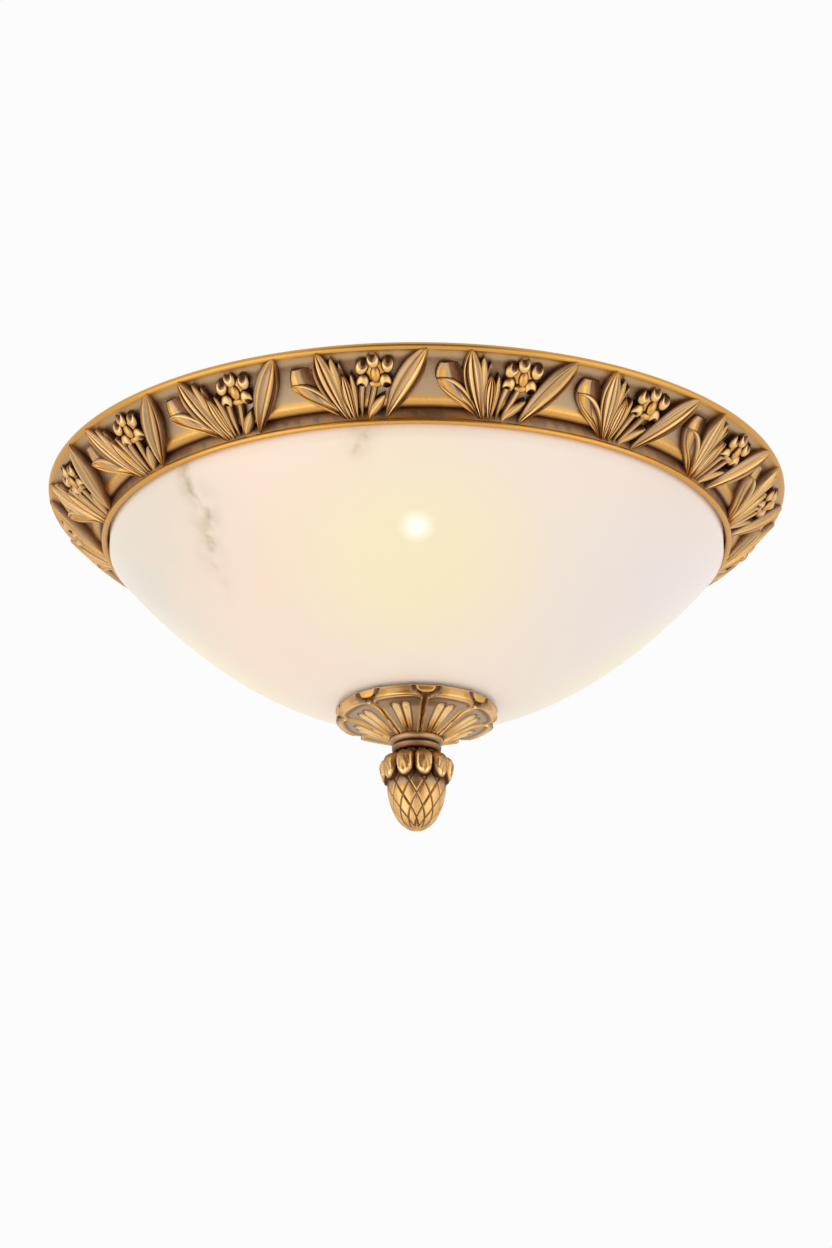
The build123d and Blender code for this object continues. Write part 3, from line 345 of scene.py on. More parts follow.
def alabaster(finish, bulbs):
    """Polished alabaster: soft colour bands across the block, faint veins, and lamps close behind,
    whose light is a painted glow.
    """
    material, tree, shader = new_material("Polished alabaster")
    place = add_node(tree, "ShaderNodeTexCoord").outputs["Object"]
    cloud = add_node(tree, "ShaderNodeTexNoise", Vector=place, Scale=1 / CLOUD_SIZE, Detail=6.0,
                     Roughness=0.62)
    across = add_node(tree, "ShaderNodeSeparateXYZ", Vector=place)
    # Bands of colour across X: grey and peach at the left, cream in the middle, lilac at the right.
    # They are the stone's tone and also painted light, since the stone gives them off as its glow.
    tone_and_light_place = add_node(tree, "ShaderNodeMath",
                     [(0, cloud.outputs["Fac"]), (1, CLOUD_DRIFT), (2, across.outputs["X"])],
                     operation="MULTIPLY_ADD")
    tone_and_light_place = add_node(tree, "ShaderNodeMapRange", Value=tone_and_light_place.outputs["Value"],
                     From_Min=TONE_AND_LIGHT_ENDS[0], From_Max=TONE_AND_LIGHT_ENDS[1])
    layers = add_node(tree, "ShaderNodeValToRGB", Fac=tone_and_light_place.outputs["Result"], stops=[
        (0.0, finish.stone_grey), (0.08, finish.stone_grey), (0.2, finish.stone_peach),
        (0.34, finish.stone_peach), (0.45, finish.stone), (0.62, finish.stone),
        (0.92, finish.stone_lilac)])
    layers.color_ramp.interpolation = "B_SPLINE"
    # Brass light and thinner stone turn it peach towards the rim.
    high = add_node(tree, "ShaderNodeMapRange", Value=across.outputs["Z"], From_Min=-85 * MM,
                    From_Max=-25 * MM, To_Max=RIM_WARMTH, interpolation_type="SMOOTHSTEP")
    # A lamp shines brightest where its light falls most squarely on the stone.
    out, down = SPOT_PLACE
    spots = [bulb + Vector((bulb.x, bulb.y, 0)).normalized() * out - Vector((0, 0, down))
             for bulb in bulbs]
    spot = nearest(tree, place, spots, *SPOT_REACH)
    shade = layers.outputs["Color"]
    for factor, over in ((high.outputs["Result"], finish.stone_peach),
                         (nearest(tree, place, bulbs, *GLOW_REACH), finish.stone_glow),
                         (veins(tree, place), finish.stone_vein), (spot, finish.spot_light)):
        shade = add_node(tree, "ShaderNodeMix", [(0, factor), (6, shade), (7, over)],
                         data_type="RGBA").outputs[2]
    bright = add_node(tree, "ShaderNodeMath", [(0, spot), (1, SPOT_LIGHT), (2, STONE_LIGHT)],
                      operation="MULTIPLY_ADD")
    # The stone gives off its own colour as a painted glow, for the light through it, stronger at
    # each spot.
    set_node(tree, shader, Base_Color=shade, Emission_Color=shade,
             Emission_Strength=bright.outputs["Value"], Roughness=0.3, IOR=1.52)
    return material


def largest(tree, sources):
    """The largest of several values."""
    total = sources[0]
    for source in sources[1:]:
        total = add_node(tree, "ShaderNodeMath", [(0, total), (1, source)],
                         operation="MAXIMUM").outputs["Value"]
    return total


def nearest(tree, place, centres, full, nothing):
    """1 within a distance of any of the centres, fading to 0 at another distance."""
    shares = []
    for centre in centres:
        gap = add_node(tree, "ShaderNodeVectorMath", [(0, place), (1, centre)],
                       operation="DISTANCE")
        near = add_node(tree, "ShaderNodeMapRange", Value=gap.outputs["Value"], From_Min=full,
                        From_Max=nothing, To_Min=1.0, To_Max=0.0,
                        interpolation_type="SMOOTHERSTEP")
        shares.append(near.outputs["Result"])
    return largest(tree, shares)


def veins(tree, place):
    """How much of the vein colour shows: lines that wander and break, in a wider haze."""
    wander = add_node(tree, "ShaderNodeTexNoise", Vector=place, Scale=1 / WANDER_SIZE,
                      Detail=6.0, Roughness=0.62)
    shift = add_node(tree, "ShaderNodeVectorMath",
                     [(0, wander.outputs["Color"]), (1, [VEIN_WANDER] * 3),
                      (2, [-VEIN_WANDER / 2] * 3)], operation="MULTIPLY_ADD")
    moved = add_node(tree, "ShaderNodeVectorMath", [(0, place), (1, shift.outputs["Vector"])],
                     operation="ADD").outputs["Vector"]
    breaks = add_node(tree, "ShaderNodeTexNoise", Vector=place, Scale=1 / BREAK_SIZE, Detail=4.0)
    patches = add_node(tree, "ShaderNodeMapRange", Value=breaks.outputs["Fac"], From_Min=0.34,
                       From_Max=0.66)
    found = []
    for centre, way, reach, strength in stone_veins:
        off = add_node(tree, "ShaderNodeVectorMath", [(0, moved), (1, centre)],
                       operation="SUBTRACT")
        side = add_node(tree, "ShaderNodeVectorMath", [(0, off.outputs["Vector"]), (1, way)],
                        operation="DOT_PRODUCT")
        gap = add_node(tree, "ShaderNodeMath", [(0, side.outputs["Value"])], operation="ABSOLUTE")
        span = add_node(tree, "ShaderNodeVectorMath", [(0, off.outputs["Vector"])],
                        operation="LENGTH")
        # The line, the haze round it, and how far along both reach, each falling to nothing.
        line, haze, fade = [
            add_node(tree, "ShaderNodeMapRange", Value=source.outputs["Value"], From_Max=end,
                     To_Min=start, To_Max=0.0, interpolation_type="SMOOTHSTEP").outputs["Result"]
            for source, end, start in ((gap, LINE_WIDTH, strength * LINE_SHARE),
                                       (gap, HAZE_WIDTH, strength * HAZE_SHARE),
                                       (span, reach, 1.0))]
        vein = add_node(tree, "ShaderNodeMath", [(0, line), (1, haze)], operation="ADD")
        for share in (patches.outputs["Result"], fade):
            vein = add_node(tree, "ShaderNodeMath", [(0, vein.outputs["Value"]), (1, share)],
                            operation="MULTIPLY")
        found.append(vein.outputs["Value"])
    return largest(tree, found)


def lamp_glass(finish):
    """Frosted glass, lit: a soft warm light that doesn't hide the globe's round form."""
    material, tree, shader = new_material("Frosted lamp glass")
    set_node(tree, shader, Base_Color=finish.lamp_glass, Roughness=0.45,
             Emission_Color=finish.lamp_light, Emission_Strength=0.8)
    return material


def seen_plainly(tree):
    """1 for rays from the camera and those that metal and glass send on, 0 for the rest."""
    path = add_node(tree, "ShaderNodeLightPath")
    return largest(tree, [path.outputs[ray] for ray in (
        "Is Camera Ray", "Is Glossy Ray", "Is Transmission Ray")])


# ------------------------------------------------------------------ mesh helpers
def new_piece(name, bm, material, body, replaced, sharp_angle=SHARP):
    mesh = bpy.data.meshes.new(name)
    bm.to_mesh(mesh)
    bm.free()
    mesh.shade_smooth()
    mesh.set_sharp_from_angle(angle=math.radians(sharp_angle))
    mesh.materials.append(material)
    piece = bpy.data.objects.new(name, mesh)
    bpy.context.scene.collection.objects.link(piece)
    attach(piece, body)
    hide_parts(*replaced)
    return piece


def wear_and_light_layer(bm):
    """The layer that says how rubbed each vertex is, and how much painted shade and highlight it
    carries.
    """
    return bm.verts.layers.float.get("wear_and_light") or bm.verts.layers.float.new("wear_and_light")


def spun(bm, profile, steps=256):
    """Spin a closed profile of (radius, height, wear) about Z."""
    wear_and_light = wear_and_light_layer(bm)
    corners = []
    for radius, height, rubbed_and_lit in profile:
        corner = bm.verts.new((0, -radius, height))
        corner[wear_and_light] = rubbed_and_lit
        corners.append(corner)
    edges = [bm.edges.new((a, b)) for a, b in zip(corners, corners[1:] + corners[:1])
             if not (abs(a.co.y) < MERGE and abs(b.co.y) < MERGE)]
    bmesh.ops.spin(bm, geom=corners + edges, cent=(0, 0, 0), axis=(0, 0, 1), dvec=(0, 0, 0),
                   angle=ROUND, steps=steps, use_merge=True, use_duplicate=False)
    bmesh.ops.remove_doubles(bm, verts=bm.verts, dist=MERGE)
    bmesh.ops.recalc_face_normals(bm, faces=bm.faces)


def arc(centre, radius, start, end, steps):
    """Points along a circular arc in the section, from start to end in degrees."""
    points = []
    for k in range(steps + 1):
        angle = math.radians(start + (end - start) * k / steps)
        points.append((centre[0] + radius * math.cos(angle), centre[1] + radius * math.sin(angle)))
    return points


def lit_and_worn(points, rubbed_and_lit):
    """Give the same wear to a run of section points."""
    return [(radius, height, rubbed_and_lit) for radius, height in points]


def smooth_step(low, high, value):
    """0 below low, 1 above high, and a smooth curve between."""
    share = min(max((value - low) / (high - low), 0.0), 1.0)
    return share * share * (3 - 2 * share)


def bump(value, centre, width):
    """A smooth hill of height 1, as wide as twice the width."""
    share = abs(value - centre) / width
    return 0.0 if share >= 1 else (1 - share * share) ** 2


def stops_at(stops, place):
    """The values at a place between (place, value, ...) stops, smoothly blended."""
    for (low, *before), (high, *after) in zip(stops, stops[1:]):
        if place <= high:
            blend = smooth_step(low, high, place)
            return [a + (b - a) * blend for a, b in zip(before, after)]
    return stops[-1][1:]


# ------------------------------------------------------------------ rim
# How rubbed the band is, with painted light, by millimetres up it from its foot: a painted shadow
# in the crease at its foot, gold on the rounded moulding, taupe in the cove, painted shade
# darkening it towards the top, and rubbed again at its edge.
band_wear_and_light = [(0.0, 0.15), (1.0, 0.5), (3.0, 0.68), (5.0, 0.72), (6.4, 0.78), (7.6, 0.62),
             (9.0, 0.46), (16.0, 0.42), (26.0, 0.36), (34.0, 0.25), (37.5, 0.5)]


def band_height(share, rim):
    """Height of the bare band over its chord, from its foot (0) to its top (1)."""
    roll = rim.roll_width / band_length(rim)
    if share < roll:
        return rim.roll_height * math.sin(math.pi * share / roll) ** 0.6
    rest = (share - roll) / (1 - roll)
    return -rim.hollow * math.sin(math.pi * rest)


def band_chord(rim):
    """The band's chord from its foot to its top, as (radius, height)."""
    return rim_high.x - rim.top_inset - rim.foot_radius, rim.foot_drop - rim.top_drop


def band_length(rim):
    """Length of the band's chord."""
    return math.hypot(*band_chord(rim))


def band_direction(rim):
    """The way up the band and the way out of it, as (radius, height)."""
    run, rise = band_chord(rim)
    size = math.hypot(run, rise)
    return (run / size, rise / size), (rise / size, -run / size)


def band_point(rim, share, height):
    """A point of the section at a share of the chord and a height over it."""
    up, out = band_direction(rim)
    size = band_length(rim)
    return (rim.foot_radius + up[0] * size * share + out[0] * height,
            -rim.foot_drop + up[1] * size * share + out[1] * height)


def rim_profile(rim):
    """The ring's closed section, with its wear."""
    edge = rim_high.x - rim.edge_round
    profile = [(rim_high.x - rim.top_inset - rim.wall / 2, 0.0, 0.4)]
    profile += lit_and_worn(arc((edge, -rim.edge_round), rim.edge_round, 90, -90, 10), 0.68)
    front_steps = 26
    for k in range(front_steps + 1):
        share = 1 - k / front_steps
        rubbed_and_lit = stops_at(band_wear_and_light, share * band_length(rim) / MM)[0]
        profile.append((*band_point(rim, share, band_height(share, rim)), rubbed_and_lit))
    lip = rim.foot_radius - rim.lip_step
    foot = -rim.foot_drop - rim.lip_height
    # The upright face is darkest at its top, just under the band's foot, and lighter downwards:
    # painted shade under the overhang.
    profile += [(lip, -rim.foot_drop, 0.03), (lip, -rim.foot_drop - rim.lip_height / 4, 0.22),
                (lip, foot, 0.42)]
    fall = rim.bead_round / math.sqrt(2)
    bead = (lip - fall, foot - fall)
    profile += lit_and_worn(arc(bead, rim.bead_round, 45, -225, 14), 0.7)
    inner = lip - 2 * fall
    foot_inner = rim.foot_radius - rim.wall / 2
    seat_top = -rim.foot_drop + rim.seat_wall
    profile += [(inner, -rim.foot_drop, 0.2), (rim.seat_inner, -rim.foot_drop, 0.3),
                (rim.seat_inner, seat_top, 0.4), (foot_inner, seat_top, 0.3)]
    back_steps = 8
    for k in range(back_steps + 1):
        share = k / back_steps
        height = -rim.hollow * math.sin(math.pi * share) - rim.wall
        profile.append((*band_point(rim, share, height), 0.35))
    return profile


class CEILING_LIGHT_OT_rim(bpy.types.Operator):
    """Build the cast brass rim"""
    bl_idname = "ceiling_light.rim"
    bl_label = "Rim"

    def execute(self, context):
        bm = bmesh.new()
        spun(bm, rim_profile(settings(context).rim), steps=320)
        new_piece("brass_rim", bm, brass(context), "fixture", ["rim_ring"])
        return {"FINISHED"}


# ------------------------------------------------------------------ sprigs
# Outlines on the band seen square on: x along the band, y up it from its foot, in millimetres.
# Each side is a Bezier curve with two handles, from the stalk up to the tip. A leaf with two tips
# is cut off between them. A leaf lies under the one after it.
leaves = {
    "curled back": dict(stalk=(-22.0, -4.5), left=[(-44.0, 5.0), (-58.5, 13.0)],
                        tips=[(-53.0, 27.4), (-42.0, 29.6)], right=[(-28.0, 8.0), (-34.5, 20.0)],
                        relief=0.70, face="fold"),
    "left back": dict(stalk=(-17.5, -6.0), left=[(-27.0, 8.0), (-31.0, 27.0)],
                      tips=[(-27.4, 37.0)], right=[(-18.0, 7.0), (-19.0, 27.0)], relief=0.84,
                      face="pale"),
    "far back": dict(stalk=(-16.0, -6.0), left=[(-22.5, 8.0), (-24.5, 24.0)],
                     tips=[(-22.2, 34.0)], right=[(-16.5, 8.0), (-17.5, 24.0)], relief=0.72,
                     face="thin edge"),
    "slim": dict(stalk=(-13.5, -6.0), left=[(-17.0, 7.0), (-17.8, 18.0)], tips=[(-15.4, 26.4)],
                 right=[(-11.0, 8.0), (-10.4, 20.0)], relief=0.78, face="pale"),
    "curled blade": dict(stalk=(-20.0, -7.0), left=[(-30.0, 5.5), (-46.5, 4.0)],
                         tips=[(-53.8, 18.0)], right=[(-28.0, 9.5), (-40.0, 25.5)], relief=0.92,
                         face="blade"),
    "left": dict(stalk=(-18.5, -7.0), left=[(-31.5, 9.0), (-44.2, 23.0)],
                 tips=[(-36.4, 41.0)], right=[(-21.5, 8.0), (-22.5, 32.0)], relief=1.0,
                 face="two ridges, bevel"),
    "narrow": dict(stalk=(-14.5, -6.5), left=[(-22.6, 6.0), (-24.4, 18.0)],
                   tips=[(-20.4, 26.4)], right=[(-14.0, 6.0), (-13.6, 20.0)], relief=0.98,
                   face="two ridges"),
    "long stalk": dict(stalk=(-10.5, -6.5), left=[(-12.6, 4.0), (-12.2, 12.0)],
                       tips=[(-10.6, 18.4), (-6.2, 18.4)], right=[(-8.2, 4.0), (-7.4, 12.0)],
                       relief=0.84, face="stem"),
    "short stalk": dict(stalk=(-7.8, -6.5), left=[(-7.6, 3.0), (-5.0, 10.0)],
                        tips=[(-2.6, 18.6), (1.6, 18.6)], right=[(-3.8, 2.0), (-0.4, 8.0)],
                        relief=0.80, face="stem"),
    "small": dict(stalk=(-6.6, -6.5), left=[(-7.6, 3.0), (-2.0, 9.0)],
                  tips=[(5.2, 11.6)], right=[(-2.4, -3.5), (4.8, 1.0)], relief=0.88,
                  face="pale"),
    "right": dict(stalk=(3.6, -6.5), left=[(5.8, 14.0), (15.5, 38.0)],
                  tips=[(33.8, 41.4)], right=[(14.5, 4.5), (34.8, 19.0)], relief=1.0,
                  face="midrib"),
}
# Faces of the leaves: from the left edge (-1) to the right edge (1), each place's height under the
# relief in millimetres, and how rubbed it is. These values hold painted light too: painted shade in
# the hollows, painted highlights on the crests, and on some faces a lit side and a shaded side.
faces = {
    "fold": [(-1.0, -1.4, 0.3), (-0.82, -0.3, 0.66), (-0.5, 0.0, 0.78), (-0.15, -0.4, 0.5),
             (0.2, -1.4, 0.16), (0.75, -2.2, 0.02), (1.0, -2.6, 0.2)],
    "pale": [(-1.0, -1.6, 0.08), (-0.55, -0.4, 0.6), (-0.1, 0.0, 0.85), (0.5, -0.4, 0.5),
             (1.0, -1.6, 0.1)],
    "thin edge": [(-1.0, -0.6, 0.3), (-0.7, 0.0, 0.85), (-0.4, -1.4, 0.1), (0.3, -1.8, 0.12),
                  (1.0, -1.6, 0.1)],
    "blade": [(-1.0, -0.9, 0.4), (-0.85, 0.0, 0.85), (-0.7, -0.4, 0.6), (-0.6, -1.6, 0.7),
              (-0.3, -2.5, 0.85), (0.1, -2.7, 0.3), (0.34, -2.2, 0.05), (0.5, -0.8, 0.45),
              (0.66, 0.0, 0.95), (0.86, -0.2, 0.7), (1.0, -1.2, 0.25)],
    "two ridges, bevel": [(-1.0, -0.8, 0.45), (-0.9, 0.0, 0.9), (-0.8, -0.8, 0.45),
                          (-0.66, -2.2, 0.05), (-0.55, -1.6, 0.25), (-0.36, -0.3, 0.95),
                          (-0.1, -0.5, 0.78), (0.02, -1.9, 0.1), (0.16, -0.8, 0.6),
                          (0.3, -0.2, 0.92), (0.46, -0.9, 0.4), (0.56, -1.2, 0.3),
                          (0.76, -0.5, 0.62), (1.0, -1.8, 0.12)],
    "two ridges": [(-1.0, -0.9, 0.25), (-0.82, -0.1, 0.75), (-0.64, -1.9, 0.08),
                   (-0.4, -0.3, 0.95), (-0.1, -0.5, 0.8), (0.04, -1.8, 0.12),
                   (0.22, -0.4, 0.88), (0.44, -0.7, 0.7), (0.6, -1.6, 0.12),
                   (0.8, -0.2, 0.75), (1.0, -1.0, 0.2)],
    "stem": [(-1.0, -2.0, 0.05), (-0.5, -0.8, 0.3), (0.0, 0.0, 0.8), (0.5, -0.6, 0.5),
             (1.0, -2.0, 0.04)],
    "midrib": [(-1.0, -1.8, 0.12), (-0.8, -1.0, 0.42), (-0.62, -0.1, 0.55), (-0.55, 0.0, 0.95),
               (-0.46, -1.3, 0.35), (-0.2, -2.3, 0.46), (0.08, -1.9, 0.52), (0.22, -0.6, 0.8),
               (0.4, -0.1, 0.82), (0.56, -0.7, 0.5), (0.64, -1.8, 0.04), (0.84, -1.6, 0.05),
               (0.92, 0.0, 0.85), (1.0, -0.7, 0.4)],
}
# The flower: each petal's middle, and which way its hollow tip points, in degrees from +x.
petals = [((-0.6, 34.6), 96), ((-8.0, 30.6), 62), ((8.4, 31.4), 80), ((-8.0, 21.0), 250),
          ((6.2, 21.0), 285)]
bud_middle = (0.4, 26.2)
sepal_middle = (0.0, 19.6)
# The arch of the sprigs' relief: places up the band and heights over its chord.
relief_arch = [(-9.0, 4.4), (16.7, 6.4), (42.4, 2.0)]
ROOT_SHARE = 0.14               # share of a leaf over which its face rises from the stalk
ROOT_WEAR = 0.62                # how rubbed it is there
PETAL_RISE = 2.8                # a petal's crest over its middle, in millimetres
PETAL_FALL = 6.0                # how far its underside goes down
EDGE_GAP = 0.4 * MM             # what the sprigs keep inside the rim's outer edge


def relief_height(y):
    """Height of the sprigs' arched relief over the band's chord, in millimetres."""
    total = 0.0
    for place, height in relief_arch:
        weight = 1.0
        for other, _ in relief_arch:
            if other != place:
                weight *= (y - other) / (place - other)
        total += weight * height
    return total


def bezier(points, share):
    """A point on a Bezier curve of any number of points."""
    points = [Vector(point) for point in points]
    while len(points) > 1:
        points = [a.lerp(b, share) for a, b in zip(points, points[1:])]
    return points[0]


def on_band(x, y, height, rim):
    """The place of a point of the sprig, all in millimetres, on the band at the front."""
    up, out = band_direction(rim)
    flat_radius = rim.foot_radius + up[0] * y * MM
    flat_height = -rim.foot_drop + up[1] * y * MM
    offset = height * MM
    for _ in range(4):
        depth = flat_radius + out[0] * offset
        offset = height * MM - (math.hypot(x * MM, depth) - depth) * out[0]
    place = Vector((x * MM, -(flat_radius + out[0] * offset), flat_height + out[1] * offset))
    over = math.hypot(place.x, place.y) / (rim_high.x - EDGE_GAP)
    if over > 1:
        place.x /= over
        place.y /= over
    return place


def skirt_height(y, rim):
    """How deep the foot of a sprig goes: into the band, but never into the gap round the bowl."""
    up, out = band_direction(rim)
    radius = rim.foot_radius + up[0] * y * MM
    keep = rim.foot_radius - rim.lip_step - rim.bead_round
    return max(-1.0, (keep - radius) / MM / out[0])


def add_leaf(bm, leaf, rim, sprig, across_steps=34, along_steps=26):
    """Add one leaf to the sprig: a grid laid between its sides, with a skirt into the band."""
    wear_and_light = wear_and_light_layer(bm)
    made = bmesh.ops.create_grid(bm, x_segments=across_steps, y_segments=along_steps, size=1.0)
    verts = made["verts"]
    left_side = [leaf["stalk"], *leaf["left"], leaf["tips"][0]]
    right_side = [leaf["stalk"], *leaf["right"], leaf["tips"][-1]]
    flat = {}
    for vert in verts:
        across = vert.co.x
        along = (vert.co.y + 1) / 2
        place = bezier(left_side, along).lerp(bezier(right_side, along), (across + 1) / 2)
        height, rubbed_and_lit = stops_at(faces[leaf["face"]], across)
        fade = smooth_step(0.0, ROOT_SHARE, along)
        if len(leaf["tips"]) == 1:
            fade *= smooth_step(0.98, 0.8, along)
        rubbed_and_lit = ROOT_WEAR + (rubbed_and_lit - ROOT_WEAR) * (0.2 + 0.8 * fade)
        height *= 0.25 + 0.75 * fade
        # The curled leaf's top rolls back, and its rolled end is darker: painted shade on the fold.
        if leaf["face"] == "fold":
            height -= sprig.fold_drop / MM * smooth_step(0.7, 1.0, along)
            rubbed_and_lit *= 1 - 0.3 * smooth_step(0.86, 1.0, along)
        vert.co = on_band(place.x, place.y, relief_height(place.y) * leaf["relief"] + height, rim)
        vert[wear_and_light] = rubbed_and_lit
        flat[vert] = place
    close_under(bm, {face for vert in verts for face in vert.link_faces}, flat, rim)


def close_under(bm, faces_above, flat, rim):
    """Draw the edge of a relief down into the band and close it underneath."""
    wear_and_light = wear_and_light_layer(bm)
    edges = [edge for face in faces_above for edge in face.edges if edge.is_boundary]
    edges = list(dict.fromkeys(edges))
    made = bmesh.ops.extrude_edge_only(bm, edges=edges)["geom"]
    new_edges = [item for item in made if isinstance(item, bmesh.types.BMEdge)
                 and item.is_boundary]
    for item in made:
        if isinstance(item, bmesh.types.BMVert):
            partner = next(edge.other_vert(item) for edge in item.link_edges
                           if edge.other_vert(item) in flat)
            place = flat[partner]
            item.co = on_band(place.x, place.y, skirt_height(place.y, rim), rim)
            item[wear_and_light] = 0.0
    bmesh.ops.edgeloop_fill(bm, edges=new_edges)


def add_petal(bm, centre, half_width, half_length, bearing, hollow, share, rim):
    """Add an oval dome to the flower, with a hollow towards its tip if hollow isn't 0."""
    wear_and_light = wear_and_light_layer(bm)
    made = bmesh.ops.create_uvsphere(bm, u_segments=24, v_segments=16, radius=1.0)
    tip = Vector((math.cos(math.radians(bearing)), math.sin(math.radians(bearing))))
    side = Vector((tip.y, -tip.x))
    for vert in made["verts"]:
        place = Vector(centre) + side * vert.co.x * half_width + tip * vert.co.y * half_length
        # How far the point is from the hollow's middle, near the petal's tip.
        reach = math.hypot(vert.co.x * 1.1, vert.co.y - 0.72)
        upper = vert.co.z > 0
        dent = hollow * (1 - smooth_step(0.2, 0.85, reach)) if upper else 0.0
        relief = relief_height(place.y) * share
        height = relief - PETAL_RISE + (PETAL_RISE if upper else PETAL_FALL) * vert.co.z - dent
        # A petal is dark round its foot and in its hollow and light on the hollow's rim: patina and
        # painted shade below and in the hollow, rubbing and painted highlight on the rim.
        rubbed_and_lit = (0.82 if hollow else 0.72) * smooth_step(0.1, 0.8, vert.co.z)
        if hollow:
            rubbed_and_lit *= smooth_step(0.3, 0.95, reach)
            rubbed_and_lit += 0.3 * bump(reach, 0.84, 0.16)
        vert[wear_and_light] = min(rubbed_and_lit, 0.9)
        vert.co = on_band(place.x, place.y, max(height, skirt_height(place.y, rim)), rim)


def build_sprig(rim, sprig):
    """One sprig at the front, as a bmesh."""
    bm = bmesh.new()
    for leaf in leaves.values():
        add_leaf(bm, leaf, rim, sprig)
    # The flower from the back: its base, the five hollow petals, the sepal and the bud.
    width = sprig.petal_width / MM / 2
    tall = sprig.petal_length / MM / 2
    add_petal(bm, bud_middle, width * 1.7, tall * 1.7, 90, 0.0, 0.6, rim)
    for centre, bearing in petals:
        add_petal(bm, centre, width, tall, bearing, sprig.hollow_depth / MM, 1.0, rim)
    add_petal(bm, sepal_middle, width * 1.1, tall * 0.5, 90, 0.0, 0.98, rim)
    add_petal(bm, bud_middle, sprig.bud_width / MM / 2, tall, 90, 0.0, 1.14, rim)
    bmesh.ops.remove_doubles(bm, verts=bm.verts, dist=MERGE)
    bmesh.ops.recalc_face_normals(bm, faces=bm.faces)
    return bm


class CEILING_LIGHT_OT_sprigs(bpy.types.Operator):
    """Build the sixteen leaf-and-flower sprigs on the rim"""
    bl_idname = "ceiling_light.sprigs"
    bl_label = "Sprigs"

    def execute(self, context):
        chosen = settings(context)
        names = sorted(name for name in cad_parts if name.startswith("sprig_"))
        pattern = build_sprig(chosen.rim, chosen.sprig)
        for k, name in enumerate(names):
            bm = pattern.copy()
            bearing = chosen.sprig.first_bearing + ROUND * k / len(names)
            bmesh.ops.rotate(bm, verts=bm.verts, cent=(0, 0, 0),
                             matrix=Matrix.Rotation(bearing, 3, "Z"))
            new_piece("cast_" + name, bm, brass(context), "fixture",
                      [name], sharp_angle=CAST_SHARP)
        pattern.free()
        return {"FINISHED"}


# ------------------------------------------------------------------ bowl
def bowl_line(lip, foot, lip_foot, bowl, steps):
    """The bowl's curved side from its flat pad out to the upright lip."""
    points = []
    rise = lip_foot - foot
    pad = rise * (bowl.pad_radius / lip) ** bowl.curve_power
    for k in range(steps + 1):
        share = k / steps
        radius = bowl.pad_radius + (lip - bowl.pad_radius) * share
        height = foot + rise * (radius / lip) ** bowl.curve_power - pad * (1 - share)
        points.append((radius, height))
    return points


class CEILING_LIGHT_OT_bowl(bpy.types.Operator):
    """Build the turned alabaster bowl"""
    bl_idname = "ceiling_light.bowl"
    bl_label = "Bowl"

    def execute(self, context):
        chosen = settings(context)
        bowl = chosen.bowl
        top = bowl_high.z
        foot = bowl_low.z
        lip = bowl_high.x
        steps = 64
        outside = bowl_line(lip, foot, top - bowl.lip_height, bowl, steps)
        lip_edge = 1.5 * MM
        inside = bowl_line(lip - bowl.wall, foot + bowl.wall, top - bowl.lip_height, bowl, steps)
        profile = lit_and_worn([(bowl.hole_radius, foot)] + outside
                       + arc((lip - lip_edge, top - lip_edge), lip_edge, 0, 90, 4)
                       + arc((lip - bowl.wall + lip_edge, top - lip_edge), lip_edge, 90, 180, 4)
                       + inside[::-1] + [(bowl.hole_radius, foot + bowl.wall)], 0.0)
        bm = bmesh.new()
        spun(bm, profile, steps=256)
        bulbs = [sum((Vector(c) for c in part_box(name)), Vector()) / 2
                 for name in sorted(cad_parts) if name.startswith("bulb_globe")]
        new_piece("stone_bowl", bm, alabaster(chosen.finish, bulbs), "shade",
                  ["alabaster_bowl"], sharp_angle=50.0)
        return {"FINISHED"}


# ------------------------------------------------------------------ petal cup
CUP_PETALS = 8
EDGE_SOFTNESS = 0.9 * MM        # over which a petal's edge rises
LINE_HEIGHT = 0.9 * MM          # how far the line round a petal stands out
GROOVE_DEPTH = 0.4 * MM         # how deep the line round a flute lies
FLUTE_ENDS = (0.2, 0.52)        # where a flute starts to round over, from neck (0) to rim (1)
FLUTE_ROUNDS = (0.2, 0.13)      # how far past these it reaches
# Half a petal's width as a share of its sector's, from the neck (0) to the rim (1).
petal_edge = [(0.0, 0.95), (0.5, 0.96), (0.7, 0.95), (0.82, 0.92), (0.87, 0.83), (0.91, 0.7),
              (0.95, 0.57), (1.0, 0.46)]


def cup_line(share, cup):
    """The cup's outer line, an ogee from its neck (0) to its rim (1), and the way out of it."""
    rim = Vector((cup.rim_radius, cup_high.z))
    neck = Vector((cup.neck_radius, collar_high.z + cup.neck_rise))
    chord = rim - neck
    out = Vector((chord.y, -chord.x)).normalized()
    shoulder = smooth_step(0.5, 0.88, share) * smooth_step(1.0, 0.92, share)
    bulge = cup.shoulder_swell * shoulder - cup.waist_hollow * math.sin(math.pi * share)
    return neck.lerp(rim, share) + out * bulge, out


